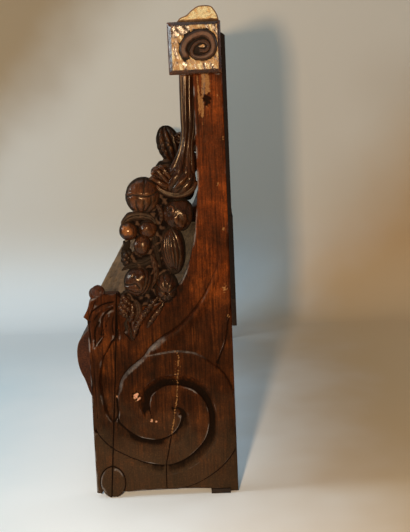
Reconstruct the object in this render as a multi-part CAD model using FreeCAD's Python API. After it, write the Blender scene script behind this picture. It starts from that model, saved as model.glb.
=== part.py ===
import FreeCAD, Part
import math
import os
from FreeCAD import Vector

# Carved hall bench, millimetres
# X runs along the bench, the sitter faces -Y, Z is up and the floor is z = 0.
# A place on an end is given by its reach, the distance forward of the rear edge
# of the end planks, and by its height above the floor.

# Overall sizes
bench_length = 1600.0
bench_height = 1226.0
end_depth = 366.0
plank_thickness = 46.0
floor_lift = 4.0
cut_overrun = 5.0
fit_gap = 0.3

# Post, capital block and crest rail
post_width = 71.0
waist_height = 790.0
capital_depth = 127.0
capital_height = 123.0
capital_proud = 12.0
capital_bevel = 10.0
crest_height = 36.0
crest_depth = 100.0
crest_setback = 2.5
post_tenon_width = 34.0
post_tenon_thickness = 22.0
post_tenon_length = 50.0
top_rail_height = 112.0
top_rail_thickness = 38.0
top_tenon_height = 40.0
top_tenon_thickness = 14.0
top_tenon_length = 26.0
crest_dowel_radius = 6.0
crest_dowel_length = 36.0
crest_dowel_share = 0.6
curl_radius = 28.0
curl_tube = 7.5
curl_reach = 54.0
curl_boss_half_length = 13.0
curl_boss_radius = 8.0

# Outline of the end panel
panel_top = 537.0
panel_dip = 500.0
joint_top_reach = 285.0
joint_bottom_reach = 328.0
leaf_tip_reach = 372.0
leaf_tip_height = 481.0
leaf_throat_height = 473.0
leaf_undercut = 3.0
leaf_top_reach = 322.0
leaf_shoulder_reach = 354.0
leaf_shoulder_height = 524.0
leaf_brow_hollow = 3.0
bud_radius = 17.0
bud_reach = 333.0
bud_height = 542.0
bud_inset = 13.0
arch_rise = 18.0
arch_front_reach = 290.0
arch_foot_height = 13.0
roundel_reach = 323.0
roundel_half_width = 32.0
roundel_half_height = 42.0
roundel_proud = 6.0
roundel_flat = 1.0
rear_foot_start = 20.0
rear_foot_length = 50.0
rear_foot_height = 12.0

# Carved grounds and grooves of the end panel
eye_reach = 148.0
eye_height = 224.0
volute_radius = 150.0
groove_depth = 10.0
field_depth = 12.0
shoulder_depth = 5.0

# Festoon of cloth and fruit
festoon_half_depth = 34.0
strand_width = 34.0
strand_thickness = 30.0
strand_bulge = 3.4
strand_count = 4
bed_thickness = 24.0
outline_steps = 8
flat_end_angle = 12.6
seam_direction = (0.6, 0.74, 0.3)
strand_bend_rise = 140.0
strand_foot_rise = 46.0
strand_swing = 26.0

# Seat and apron
seat_height = 492.0
seat_thickness = 30.0
seat_front_reach = 368.0
seat_split_reach = 186.0
nosing_radius = 10.0
tongue_length = 9.0
tongue_thickness = 9.0
apron_reach = 400.0
apron_thickness = 20.0
apron_bottom_height = 236.0
apron_proud = 35.0
apron_swell_top_height = 440.0
apron_swell_foot_height = 255.0
apron_tenon_height = 90.0
apron_tenon_thickness = 11.0
apron_tenon_length = 18.0
apron_tenon_shoulder = 4.0
cleat_height = 30.0
cleat_thickness = 20.0
cleat_margin = 26.0
bearer_height = 40.0
bearer_thickness = 32.0
bearer_spacing = 380.0
rear_rail_height = 70.0
rear_rail_thickness = 22.0
rear_tenon_height = 36.0
rear_tenon_thickness = 10.0
rear_tenon_length = 20.0
glue_block_side = 26.0
glue_block_length = 70.0
glue_block_spacing = 380.0

# Boards on the back
upper_board_thickness = 9.5
lower_board_thickness = 12.0
upper_board_drop = 27.0
upper_board_bottom = 723.0
lower_board_bottom = 515.0
strip_bottom = 444.0
board_top_bevel = 7.5

# Dowels and nails
joint_dowel_radius = 6.0
joint_dowel_length = 64.0
joint_dowel_low = 112.0
joint_dowel_step = 165.0
joint_dowel_count = 3
nail_shank_radius = 1.8
back_nail_length = 30.0
seat_nail_length = 45.0
nail_head_radius = 5.5
nail_head_height = 1.5
nail_spacing = 250.0
nail_edge = 24.0

# Places that follow from the sizes above
half_length = bench_length / 2
inner_face = half_length - plank_thickness
middle_plane = half_length - plank_thickness / 2
rear_plane = (apron_reach - lower_board_thickness) / 2
capital_top = bench_height - crest_height
capital_bottom = capital_top - capital_height
capital_inner = inner_face - capital_proud
capital_outer = half_length + capital_proud
seat_bottom = seat_height - seat_thickness
apron_neck_reach = apron_reach - apron_proud
apron_back_reach = apron_neck_reach - apron_thickness
strand_reach = post_width + strand_width / 2
strand_bend_height = waist_height + strand_bend_rise
strand_foot_height = waist_height + strand_foot_rise
upper_board_top = capital_top - upper_board_drop


def place(reach, height, across=0.0):
    return Vector(across, rear_plane - reach, height)


def line(first, second):
    return Part.makeLine(first, second)


def arc(first, middle, last):
    return Part.Arc(first, middle, last).toShape()


def smooth(points):
    curve = Part.BSplineCurve()
    curve.interpolate(points)
    return curve.toShape()


def loop(corners):
    return [line(corners[i], corners[(i + 1) % len(corners)]) for i in range(len(corners))]


def prism(edges, start, end):
    """Close an outline, move it to x = start and push it along X to x = end."""
    face = Part.Face(Part.Wire(Part.__sortEdges__(edges)))
    face.translate(Vector(start, 0, 0))
    return face.extrude(Vector(end - start, 0, 0))


def board(reach_from, reach_to, low, high, start, end):
    corners = [
        place(reach_from, low), place(reach_to, low), place(reach_to, high), place(reach_from, high),
    ]
    return prism(loop(corners), start, end)


def spheroid(centre, axis, half_length_along, radius):
    """A body of revolution with an oval outline and small flat ends, made as two half turns."""
    direction = Vector(axis)
    direction.normalize()
    side = Vector(seam_direction) - direction * direction.dot(Vector(seam_direction))
    side.normalize()
    flat = math.radians(flat_end_angle)
    points = []
    for i in range(outline_steps + 1):
        turn = flat + (math.pi - 2 * flat) * i / outline_steps
        points.append(centre + direction * half_length_along * math.cos(turn) + side * radius * math.sin(turn))
    top = centre + direction * half_length_along * math.cos(flat)
    low = centre - direction * half_length_along * math.cos(flat)
    face = Part.Face(Part.Wire([smooth(points), line(points[-1], low), line(low, top), line(top, points[0])]))
    first = face.revolve(centre, direction, 180)
    second = first.copy()
    second.rotate(centre, direction, 180)
    return first.fuse(second)


def fuse(pieces):
    whole = pieces[0]
    if len(pieces) > 1:
        whole = whole.multiFuse(pieces[1:])
    return whole.removeSplitter()


def cut_all(shape, tools):
    for tool in tools:
        shape = shape.cut(tool)
    return shape


def mirrored(shape):
    return shape.mirror(Vector(0, 0, 0), Vector(1, 0, 0))


def joint_reach(height):
    """The glued joint leans forward as it goes down."""
    fraction = (panel_top - height) / panel_top
    return joint_top_reach + (joint_bottom_reach - joint_top_reach) * fraction


# Hollow front edge from the post's waist to the top of the joint
# Shares of the run forward to the joint, and of the drop to the lowest place
sweep_shares = [
    (0.032, 0.214), (0.083, 0.472), (0.165, 0.686), (0.30, 0.86),
    (0.48, 0.98), (0.66, 1.0), (0.82, 0.965), (0.93, 0.90),
]


def sweep_edge():
    forward = joint_top_reach - post_width
    down = waist_height - panel_dip
    points = [place(post_width, waist_height)]
    for reach_share, drop_share in sweep_shares:
        points.append(place(post_width + reach_share * forward, waist_height - drop_share * down))
    points.append(place(joint_top_reach, panel_top))
    return smooth(points)


def main_plank_blank():
    """Post, hollow and volute panel behind the glued joint."""
    foot_back = rear_foot_start + rear_foot_length
    arch_start = place(arch_front_reach, arch_foot_height)
    arch_end = place(foot_back, arch_foot_height)
    arch_crown = place((arch_front_reach + foot_back) / 2, arch_foot_height + arch_rise)
    joint_low = place(joint_reach(arch_foot_height), arch_foot_height)
    edges = [
        line(place(0, floor_lift), place(0, capital_bottom)),
        line(place(0, capital_bottom), place(post_width, capital_bottom)),
        line(place(post_width, capital_bottom), place(post_width, waist_height)),
        sweep_edge(),
        line(place(joint_top_reach, panel_top), joint_low),
        line(joint_low, arch_start),
        arc(arch_start, arch_crown, arch_end),
        line(arch_end, place(foot_back, rear_foot_height)),
        line(place(foot_back, rear_foot_height), place(rear_foot_start, rear_foot_height)),
        line(place(rear_foot_start, rear_foot_height), place(rear_foot_start, floor_lift)),
        line(place(rear_foot_start, floor_lift), place(0, floor_lift)),
    ]
    return prism(edges, inner_face, half_length)


def front_plank_blank():
    """Narrow front board with the leaf's outline and the round bud on its top."""
    tip = place(leaf_tip_reach, leaf_tip_height)
    throat = place(end_depth - leaf_undercut, leaf_throat_height)
    shoulder = place(leaf_shoulder_reach, leaf_shoulder_height)
    brow = (shoulder + tip) * 0.5 + Vector(0, leaf_brow_hollow, 0)
    joint_low = place(joint_reach(arch_foot_height), arch_foot_height)
    edges = [
        line(joint_low, place(joint_top_reach, panel_top)),
        line(place(joint_top_reach, panel_top), place(leaf_top_reach, panel_top)),
        line(place(leaf_top_reach, panel_top), shoulder),
        arc(shoulder, brow, tip),
        line(tip, throat),
        line(throat, place(end_depth, arch_foot_height)),
        line(place(end_depth, arch_foot_height), joint_low),
    ]
    plank = prism(edges, inner_face, half_length)
    bud = Part.makeSphere(bud_radius, place(bud_reach, bud_height, half_length - bud_inset))
    return fuse([plank, bud])


def roundel_disc():
    """The oval foot carved across the joint, flat where it meets the floor."""
    centre_height = roundel_half_height - roundel_flat
    centre = place(roundel_reach, centre_height)
    top = place(roundel_reach, centre_height + roundel_half_height)
    side = place(roundel_reach - roundel_half_width, centre_height)
    oval = Part.Ellipse(top, side, centre).toShape()
    disc = prism([oval], inner_face, half_length + roundel_proud)
    margin = roundel_half_width + cut_overrun
    start = inner_face - cut_overrun
    end = half_length + roundel_proud + cut_overrun
    under = board(roundel_reach - margin, roundel_reach + margin, -roundel_half_height, 0, start, end)
    return disc.cut(under)


def side_of_joint(shape, front):
    """Keep what lies in front of the glued joint, or what lies behind it."""
    low = -panel_top
    high = 2 * panel_top
    far = 2 * end_depth if front else -end_depth
    corners = [
        place(joint_reach(low), low), place(joint_reach(high), high), place(far, high), place(far, low),
    ]
    return shape.common(prism(loop(corners), inner_face - plank_thickness, half_length + plank_thickness))


# Grooves of the volute: angle about the eye in degrees, share of the volute's radius
front_wall_shares = [
    (250, 0.98), (267, 0.90), (281, 0.82), (296, 0.73), (313, 0.66), (349, 0.55),
    (391, 0.48), (429, 0.46), (470, 0.49), (502, 0.52), (529, 0.47), (556, 0.45),
]
front_lip_shares = [
    (553, 0.53), (535, 0.63), (512, 0.69), (488, 0.70), (462, 0.67), (431, 0.66),
    (405, 0.66), (370, 0.66), (350, 0.69), (323, 0.82), (301, 0.91), (284, 0.95), (266, 0.98),
]
rear_wall_shares = [
    (187, 0.97), (196, 0.91), (211, 0.78), (231, 0.60), (254, 0.40), (283, 0.19), (303, 0.10),
]
rear_lip_shares = [
    (366, 0.14), (335, 0.22), (314, 0.32), (284, 0.49), (259, 0.65), (231, 0.79), (209, 0.94), (194, 0.99),
]

# Ground under the fruit: shares of the end's depth and of the panel's top height
leaf_band_shares = [
    (0.795, 0.81), (0.836, 0.77), (0.87, 0.73), (0.898, 0.697), (0.913, 0.66),
    (0.928, 0.58), (0.92, 0.506), (0.903, 0.44), (0.882, 0.40), (0.863, 0.38),
]
long_rim_shares = [
    (0.826, 0.42), (0.817, 0.503), (0.803, 0.545), (0.776, 0.592), (0.727, 0.633), (0.618, 0.694),
    (0.57, 0.735), (0.49, 0.78), (0.40, 0.82), (0.284, 0.887), (0.21, 0.95),
]

# Shallow shoulder between the long band and the arch of the volute, same shares
arch_rim_shares = [
    (0.60, 0.705), (0.54, 0.712), (0.465, 0.718), (0.385, 0.719), (0.273, 0.708),
    (0.20, 0.683), (0.128, 0.643), (0.07, 0.604), (0.035, 0.561),
]
band_edge_shares = [
    (0.035, 0.68), (0.085, 0.735), (0.16, 0.765), (0.30, 0.775), (0.45, 0.755), (0.56, 0.722),
]


def closed_cut(curves, depth):
    """Join the curves in order with straight edges and sink the outline into the face."""
    edges = []
    for i, points in enumerate(curves):
        edges.append(smooth(points) if len(points) > 2 else line(*points))
        edges.append(line(points[-1], curves[(i + 1) % len(curves)][0]))
    return prism(edges, half_length - depth, half_length + cut_overrun)


def volute_places(shares):
    places = []
    for angle, share in shares:
        turn = math.radians(angle)
        reach = eye_reach - share * volute_radius * math.cos(turn)
        places.append(place(reach, eye_height + share * volute_radius * math.sin(turn)))
    return places


def panel_places(shares):
    return [place(reach * end_depth, height * panel_top) for reach, height in shares]


def relief_cuts():
    """Grooves, ground and shoulder that leave the bands of the carving standing."""
    over_top = (panel_top + waist_height) / 2
    front = panel_places(leaf_band_shares)
    rim = panel_places(long_rim_shares)
    top = [place(joint_top_reach / 3, over_top), place(joint_top_reach, over_top)]
    return [
        closed_cut([volute_places(front_wall_shares), volute_places(front_lip_shares)], groove_depth),
        closed_cut([volute_places(rear_wall_shares), volute_places(rear_lip_shares)], groove_depth),
        closed_cut([front, rim, top], field_depth),
        closed_cut([panel_places(arch_rim_shares), panel_places(band_edge_shares)], shoulder_depth),
    ]


def joint_dowels(allowance):
    """Loose dowels that line up the two boards of an end, or the holes for them."""
    dowels = []
    for i in range(joint_dowel_count):
        height = joint_dowel_low + i * joint_dowel_step
        half = joint_dowel_length / 2 + allowance
        start = place(joint_reach(height) + half, height, middle_plane)
        dowels.append(Part.makeCylinder(joint_dowel_radius + allowance, 2 * half, start, Vector(0, 1, 0)))
    return dowels


def apron_tenon(allowance):
    middle = (apron_swell_top_height + apron_swell_foot_height) / 2
    low = middle - apron_tenon_height / 2 - allowance
    high = middle + apron_tenon_height / 2 + allowance
    near = apron_back_reach + apron_tenon_shoulder - allowance
    far = near + apron_tenon_thickness + 2 * allowance
    return board(near, far, low, high, inner_face, inner_face + apron_tenon_length + allowance)


def rear_tenon(allowance):
    middle = seat_bottom - rear_rail_height / 2
    low = middle - rear_tenon_height / 2 - allowance
    high = middle + rear_tenon_height / 2 + allowance
    near = (rear_rail_thickness - rear_tenon_thickness) / 2 - allowance
    far = near + rear_tenon_thickness + 2 * allowance
    return board(near, far, low, high, inner_face, inner_face + rear_tenon_length + allowance)


def post_tenon(allowance):
    near = (post_width - post_tenon_width) / 2 - allowance
    far = near + post_tenon_width + 2 * allowance
    half = post_tenon_thickness / 2 + allowance
    high = capital_bottom + post_tenon_length + allowance
    return board(near, far, capital_bottom, high, middle_plane - half, middle_plane + half)


def top_tenon(allowance):
    near = (top_rail_thickness - top_tenon_thickness) / 2 - allowance
    far = near + top_tenon_thickness + 2 * allowance
    high = capital_top - top_tenon_thickness + allowance
    low = high - top_tenon_height - 2 * allowance
    return board(near, far, low, high, capital_inner, capital_inner + top_tenon_length + allowance)


def crest_dowel(allowance):
    start = place(crest_depth * crest_dowel_share, capital_top - crest_dowel_length / 2 - allowance, middle_plane)
    return Part.makeCylinder(crest_dowel_radius + allowance, crest_dowel_length + 2 * allowance, start)


def end_planks():
    roundel = roundel_disc()
    main = fuse([main_plank_blank(), side_of_joint(roundel, False)])
    front = fuse([front_plank_blank(), side_of_joint(roundel, True)])
    relief = relief_cuts()
    holes = joint_dowels(fit_gap)
    main = cut_all(main, relief + holes + [rear_tenon(fit_gap)])
    front = cut_all(front, relief + holes + [apron_tenon(fit_gap)])
    return fuse([main, post_tenon(0), vine_leaf()]), front


def capital():
    """Bevelled block on the post with a rope curl carved on its face."""
    body = board(0, capital_depth, capital_bottom, capital_top, capital_inner, capital_outer)
    rim = [edge for edge in body.Edges if edge.BoundBox.XMin > capital_outer - fit_gap]
    body = body.makeChamfer(capital_bevel, rim)
    middle = capital_bottom + capital_height / 2 + curl_tube / 2
    centre = place(curl_reach, middle, capital_outer)
    curl = Part.makeTorus(curl_radius, curl_tube, centre, Vector(1, 0, 0))
    boss = spheroid(centre, Vector(0, -1, 1), curl_boss_half_length, curl_boss_radius)
    body = fuse([body, curl, boss])
    return cut_all(body, [post_tenon(fit_gap), top_tenon(fit_gap), crest_dowel(fit_gap)])


def strands():
    """Falling folds of cloth: a scalloped outline carried down, then swung forward."""
    step = strand_width / strand_count
    half = strand_thickness / 2
    outer = []
    for i in range(strand_count):
        first = place(post_width + i * step, strand_bend_height, middle_plane + half)
        last = place(post_width + (i + 1) * step, strand_bend_height, middle_plane + half)
        outer.append((first, (first + last) * 0.5 + Vector(strand_bulge, 0, 0), last))
    edges = [arc(*fold) for fold in outer]
    for fold in outer:
        edges.append(arc(*[Vector(2 * middle_plane - p.x, p.y, p.z) for p in fold]))
    back, corner = outer[0][0], outer[-1][2]
    inner_back = Vector(2 * middle_plane - back.x, back.y, back.z)
    inner_corner = Vector(2 * middle_plane - corner.x, corner.y, corner.z)
    edges.append(arc(corner, (corner + inner_corner) * 0.5 - Vector(0, strand_bulge, 0), inner_corner))
    edges.append(line(back, inner_back))
    face = Part.Face(Part.Wire(Part.__sortEdges__(edges)))
    upper = face.extrude(Vector(0, 0, capital_bottom - strand_bend_height))
    drop = strand_bend_height - strand_foot_height
    radius = (strand_swing ** 2 + drop ** 2) / (2 * strand_swing)
    hub = place(strand_reach + radius, strand_bend_height, middle_plane)
    lower = face.revolve(hub, Vector(-1, 0, 0), math.degrees(math.asin(drop / radius)))
    return fuse([upper, lower])


# Round fruit of the festoon: centre forward of the post as a share of the run to the
# joint, centre height as a share of the waist's height, radius as a share of the half depth
round_fruit_shares = {
    "knot_bowl": (0.20, 1.030, 1.26),
    "gourd": (0.635, 0.985, 1.31),
    "apple": (0.822, 0.877, 0.69),
    "quince": (0.592, 0.882, 0.72),
    "pomegranate": (0.735, 0.713, 1.15),
}

# Long pieces: centre as above, half length and half width as shares, lean in degrees
long_fruit_shares = {
    "knot_loop": (0.41, 1.050, 0.75, 0.62, 40),
    "knot_roll": (0.25, 0.990, 1.55, 0.50, 82),
    "poppy": (0.245, 0.925, 1.30, 1.0, 0),
    "leaf_over_apple": (0.755, 0.915, 0.85, 0.40, 75),
    "pear": (0.672, 0.830, 0.84, 0.62, -20),
    "melon": (0.318, 0.814, 1.88, 0.94, 0),
    "small_berry": (0.86, 0.793, 0.66, 0.46, 0),
    "leaf_fold": (0.70, 0.780, 0.68, 0.46, 70),
    "medlar": (0.42, 0.690, 1.22, 0.90, 0),
    "blackberry": (0.915, 0.640, 1.00, 0.58, 0),
    "front_pod": (0.70, 0.628, 1.15, 0.34, 28),
    "rear_pod": (0.57, 0.612, 1.35, 0.36, 24),
}
low_relief = ("blackberry", "front_pod", "rear_pod")

# Wood left between the fruit, as an outline in the same shares
bed_shares = [
    (0.37, 1.06), (0.626, 1.0), (0.715, 0.93), (0.78, 0.886), (0.724, 0.823), (0.80, 0.785),
    (0.78, 0.72), (0.87, 0.658), (0.87, 0.62), (0.44, 0.62), (0.41, 0.69), (0.33, 0.76),
    (0.276, 0.823), (0.276, 0.886), (0.21, 0.962), (0.19, 1.02),
]

# Small leaf carved on the ground of the panel: place, half sizes and lean
vine_leaf_shares = (0.80, 0.560, 0.95, 0.40)
vine_leaf_lean = 20


def fruit_place(reach_share, height_share, across):
    reach = post_width + reach_share * (joint_top_reach - post_width)
    return place(reach, height_share * waist_height, across)


def lean_axis(lean):
    turn = math.radians(lean)
    return Vector(0, -math.sin(turn), math.cos(turn))


def fruits():
    pieces = []
    for reach_share, height_share, share in round_fruit_shares.values():
        centre = fruit_place(reach_share, height_share, middle_plane)
        radius = share * festoon_half_depth
        pieces.append(spheroid(centre, Vector(1, 0, 0), min(radius, festoon_half_depth), radius))
    for name, row in long_fruit_shares.items():
        reach_share, height_share, long_share, short_share, lean = row
        across = half_length - field_depth if name in low_relief else middle_plane
        centre = fruit_place(reach_share, height_share, across)
        half_long = long_share * festoon_half_depth
        pieces.append(spheroid(centre, lean_axis(lean), half_long, short_share * festoon_half_depth))
    return pieces


def festoon_bed():
    points = [fruit_place(*row, 0) for row in bed_shares]
    half = bed_thickness / 2
    return prism(loop(points), middle_plane - half, middle_plane + half)


def festoon(planks):
    """One carving of cloth and fruit, fitted round the panel that carries it."""
    body = festoon_bed().multiFuse([strands()] + fruits())
    behind = board(
        -end_depth, post_width, 0, capital_bottom, middle_plane - plank_thickness, middle_plane + plank_thickness)
    body = cut_all(body, planks + [behind])
    solids = sorted(body.Solids, key=lambda piece: piece.Volume)
    return solids[-1]


def vine_leaf():
    reach_share, height_share, long_share, short_share = vine_leaf_shares
    centre = fruit_place(reach_share, height_share, half_length - field_depth)
    half_long = long_share * festoon_half_depth
    return spheroid(centre, lean_axis(vine_leaf_lean), half_long, short_share * festoon_half_depth)


# Crest moulding: shares of its depth forward and of its height up
crest_shares = [
    (1.0, 0.0), (0.92, 0.24), (0.78, 0.42), (0.66, 0.70), (0.53, 0.95), (0.41, 1.0),
    (0.28, 0.99), (0.18, 0.90), (0.11, 0.70), (0.04, 0.38),
]


def crest_rail():
    points = []
    for reach_share, rise_share in crest_shares:
        reach = crest_setback + reach_share * crest_depth
        points.append(place(reach, capital_top + rise_share * crest_height))
    back = place(crest_setback, capital_top)
    edges = [smooth(points), line(points[-1], back), line(back, points[0])]
    rail = prism(edges, -half_length, half_length)
    return cut_all(rail, [crest_dowel(fit_gap), mirrored(crest_dowel(fit_gap))])


def top_rail():
    body = board(0, top_rail_thickness, capital_top - top_rail_height, capital_top, -capital_inner, capital_inner)
    return fuse([body, top_tenon(0), mirrored(top_tenon(0))])


# Swell of the apron: share of the swell's height down, share of its full reach forward
swell_shares = [
    (0.0, 0.0), (0.10, 0.49), (0.18, 0.81), (0.28, 0.97), (0.39, 1.0),
    (0.50, 0.955), (0.62, 0.79), (0.73, 0.54), (0.90, 0.27), (1.0, 0.06),
]


def apron():
    """Bombe board under the seat, thick enough to be carved from one plank."""
    swell_height = apron_swell_top_height - apron_swell_foot_height
    points = []
    for drop_share, proud_share in swell_shares:
        points.append(place(
            apron_neck_reach + proud_share * apron_proud, apron_swell_top_height - drop_share * swell_height))
    foot = place(apron_neck_reach, apron_bottom_height)
    neck = place(apron_neck_reach, seat_bottom)
    edges = [
        smooth(points),
        line(points[-1], foot),
        line(foot, place(apron_back_reach, apron_bottom_height)),
        line(place(apron_back_reach, apron_bottom_height), place(apron_back_reach, seat_bottom)),
        line(place(apron_back_reach, seat_bottom), neck),
        line(neck, points[0]),
    ]
    body = prism(edges, -inner_face, inner_face)
    return fuse([body, apron_tenon(0), mirrored(apron_tenon(0))])


def seat_boards():
    """Two boards with a tongue and groove, the front one with a rounded nosing."""
    middle = seat_height - seat_thickness / 2
    low = middle - tongue_thickness / 2
    high = middle + tongue_thickness / 2
    rear = board(0, seat_split_reach, seat_bottom, seat_height, -inner_face, inner_face)
    tongue_end = seat_split_reach + tongue_length
    tongue = board(seat_split_reach, tongue_end, low, high, -inner_face, inner_face)
    groove = board(
        seat_split_reach, tongue_end + fit_gap, low - fit_gap, high + fit_gap,
        -inner_face - cut_overrun, inner_face + cut_overrun)
    bend = nosing_radius * (1 - math.sqrt(0.5))
    top_turn = place(seat_front_reach - nosing_radius, seat_height)
    low_turn = place(seat_front_reach, seat_height - nosing_radius)
    edges = [
        line(place(seat_split_reach, seat_bottom), place(seat_split_reach, seat_height)),
        line(place(seat_split_reach, seat_height), top_turn),
        arc(top_turn, place(seat_front_reach - bend, seat_height - bend), low_turn),
        line(low_turn, place(seat_front_reach, seat_bottom)),
        line(place(seat_front_reach, seat_bottom), place(seat_split_reach, seat_bottom)),
    ]
    front = prism(edges, -inner_face, inner_face)
    return fuse([rear, tongue]), front.cut(groove)


def seat_cleat():
    front = apron_back_reach - cleat_margin
    return board(cleat_margin, front, seat_bottom - cleat_height, seat_bottom, inner_face - cleat_thickness, inner_face)


def bearer(position):
    start = position - bearer_thickness / 2
    return board(rear_rail_thickness, apron_back_reach, seat_bottom - bearer_height, seat_bottom,
                 start, start + bearer_thickness)


def rear_rail():
    body = board(0, rear_rail_thickness, seat_bottom - rear_rail_height, seat_bottom, -inner_face, inner_face)
    return fuse([body, rear_tenon(0), mirrored(rear_tenon(0))])


def glue_blocks():
    """Corner blocks behind the apron, halfway between the bearers and the ends."""
    blocks = []
    for side in (-1.5, -0.5, 0.5, 1.5):
        start = side * glue_block_spacing - glue_block_length / 2
        low = seat_bottom - glue_block_side
        corners = [
            place(apron_back_reach, seat_bottom), place(apron_back_reach, low),
            place(apron_back_reach - glue_block_side, seat_bottom),
        ]
        blocks.append(prism(loop(corners), start, start + glue_block_length))
    return blocks


def back_boards():
    bevel = place(-upper_board_thickness, upper_board_top - board_top_bevel)
    corners = [
        place(0, upper_board_bottom), place(0, upper_board_top), bevel,
        place(-upper_board_thickness, upper_board_bottom),
    ]
    upper = prism(loop(corners), -half_length, half_length)
    lower = board(-lower_board_thickness, 0, lower_board_bottom, upper_board_bottom, -half_length, half_length)
    strip = board(-lower_board_thickness, 0, strip_bottom, lower_board_bottom, -half_length, half_length)
    return upper, lower, strip


def driven_nail(top, direction, length, allowance):
    """A wrought nail with its flat head level with the wood, or the hole for one."""
    shank = Part.makeCylinder(nail_shank_radius + allowance, length + allowance, top, direction)
    head_start = top - direction * allowance
    head = Part.makeCylinder(
        nail_head_radius + allowance, nail_head_height + 2 * allowance, head_start, direction)
    return fuse([head, shank])


def back_nail(across, height, face, allowance):
    return driven_nail(place(-face, height, across), Vector(0, -1, 0), back_nail_length, allowance)


def nail_rows():
    """Every back nail as its place across, its height and the board it holds."""
    rows = []
    upper_span = upper_board_top - upper_board_bottom - 2 * nail_edge - board_top_bevel
    for side in (-middle_plane, middle_plane):
        for i in range(3):
            height = upper_board_bottom + nail_edge + i * upper_span / 2
            rows.append((side, height, upper_board_thickness))
        rows.append((side, upper_board_bottom - nail_edge, lower_board_thickness))
        rows.append((side, lower_board_bottom + nail_edge, lower_board_thickness))
        rows.append((side, (strip_bottom + lower_board_bottom) / 2, lower_board_thickness))
    count = int(inner_face / nail_spacing)
    for i in range(-count, count + 1):
        top_row = (capital_top - top_rail_height + upper_board_top) / 2
        rows.append((i * nail_spacing, top_row, upper_board_thickness))
        rows.append((i * nail_spacing, seat_bottom - back_nail_length / 4, lower_board_thickness))
    return rows


def seat_nail_places():
    places = []
    for across in (-inner_face + cleat_thickness / 2, -bearer_spacing, 0, bearer_spacing,
                   inner_face - cleat_thickness / 2):
        for reach in (nail_edge * 2, seat_split_reach - nail_edge, seat_split_reach + nail_edge * 1.5,
                      apron_back_reach - nail_edge * 2):
            places.append((across, reach))
    return places


def seat_nail(across, reach, allowance):
    return driven_nail(place(reach, seat_height, across), Vector(0, 0, -1), seat_nail_length, allowance)


def rear_foot():
    return board(
        rear_foot_start, rear_foot_start + rear_foot_length, 0, rear_foot_height, inner_face, half_length)


def add_pair(nodes, name, shape):
    nodes["right_" + name] = shape
    nodes["left_" + name] = mirrored(shape)


def build():
    nodes = {}
    main, front = end_planks()
    block = capital()
    add_pair(nodes, "main_plank", main)
    add_pair(nodes, "front_plank", front)
    add_pair(nodes, "capital", block)
    add_pair(nodes, "festoon", festoon([main, front]))
    add_pair(nodes, "rear_foot", rear_foot())
    add_pair(nodes, "joint_dowels", Part.makeCompound(joint_dowels(0)))
    add_pair(nodes, "seat_cleat", seat_cleat())
    nodes["crest_rail"] = crest_rail()
    nodes["crest_dowels"] = Part.makeCompound([crest_dowel(0), mirrored(crest_dowel(0))])
    nodes["top_rail"] = top_rail()
    nodes["apron"] = apron()
    nodes["rear_rail"] = rear_rail()
    nodes["glue_blocks"] = Part.makeCompound(glue_blocks())
    for name, step in (("left_bearer", -1), ("middle_bearer", 0), ("right_bearer", 1)):
        nodes[name] = bearer(step * bearer_spacing)
    nodes["seat_rear_board"], nodes["seat_front_board"] = seat_boards()
    nodes["upper_back_board"], nodes["lower_back_board"], nodes["seat_back_strip"] = back_boards()

    back_nails = [back_nail(*row, 0) for row in nail_rows()]
    back_holes = Part.makeCompound([back_nail(*row, fit_gap) for row in nail_rows()])
    for name in ("upper_back_board", "lower_back_board", "seat_back_strip", "top_rail", "rear_rail",
                 "right_main_plank", "left_main_plank", "right_capital", "left_capital"):
        nodes[name] = nodes[name].cut(back_holes)
    nodes["back_nails"] = Part.makeCompound(back_nails)

    seat_nails = [seat_nail(*spot, 0) for spot in seat_nail_places()]
    seat_holes = Part.makeCompound([seat_nail(*spot, fit_gap) for spot in seat_nail_places()])
    for name in ("seat_front_board", "seat_rear_board", "right_seat_cleat", "left_seat_cleat",
                 "left_bearer", "middle_bearer", "right_bearer"):
        nodes[name] = nodes[name].cut(seat_holes)
    nodes["seat_nails"] = Part.makeCompound(seat_nails)
    return nodes


def write(nodes):
    os.makedirs("parts", exist_ok=True)
    for name, shape in nodes.items():
        shape.exportStep("parts/" + name + ".step")
        state = "valid" if shape.isValid() else "NOT VALID"
        print(name, len(shape.Solids), "solids", round(shape.Volume / 1000), "cm3", state)


write(build())
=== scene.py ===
import math

import bmesh
import bpy
import numpy as np
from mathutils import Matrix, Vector
from mathutils.geometry import delaunay_2d_cdt


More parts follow.
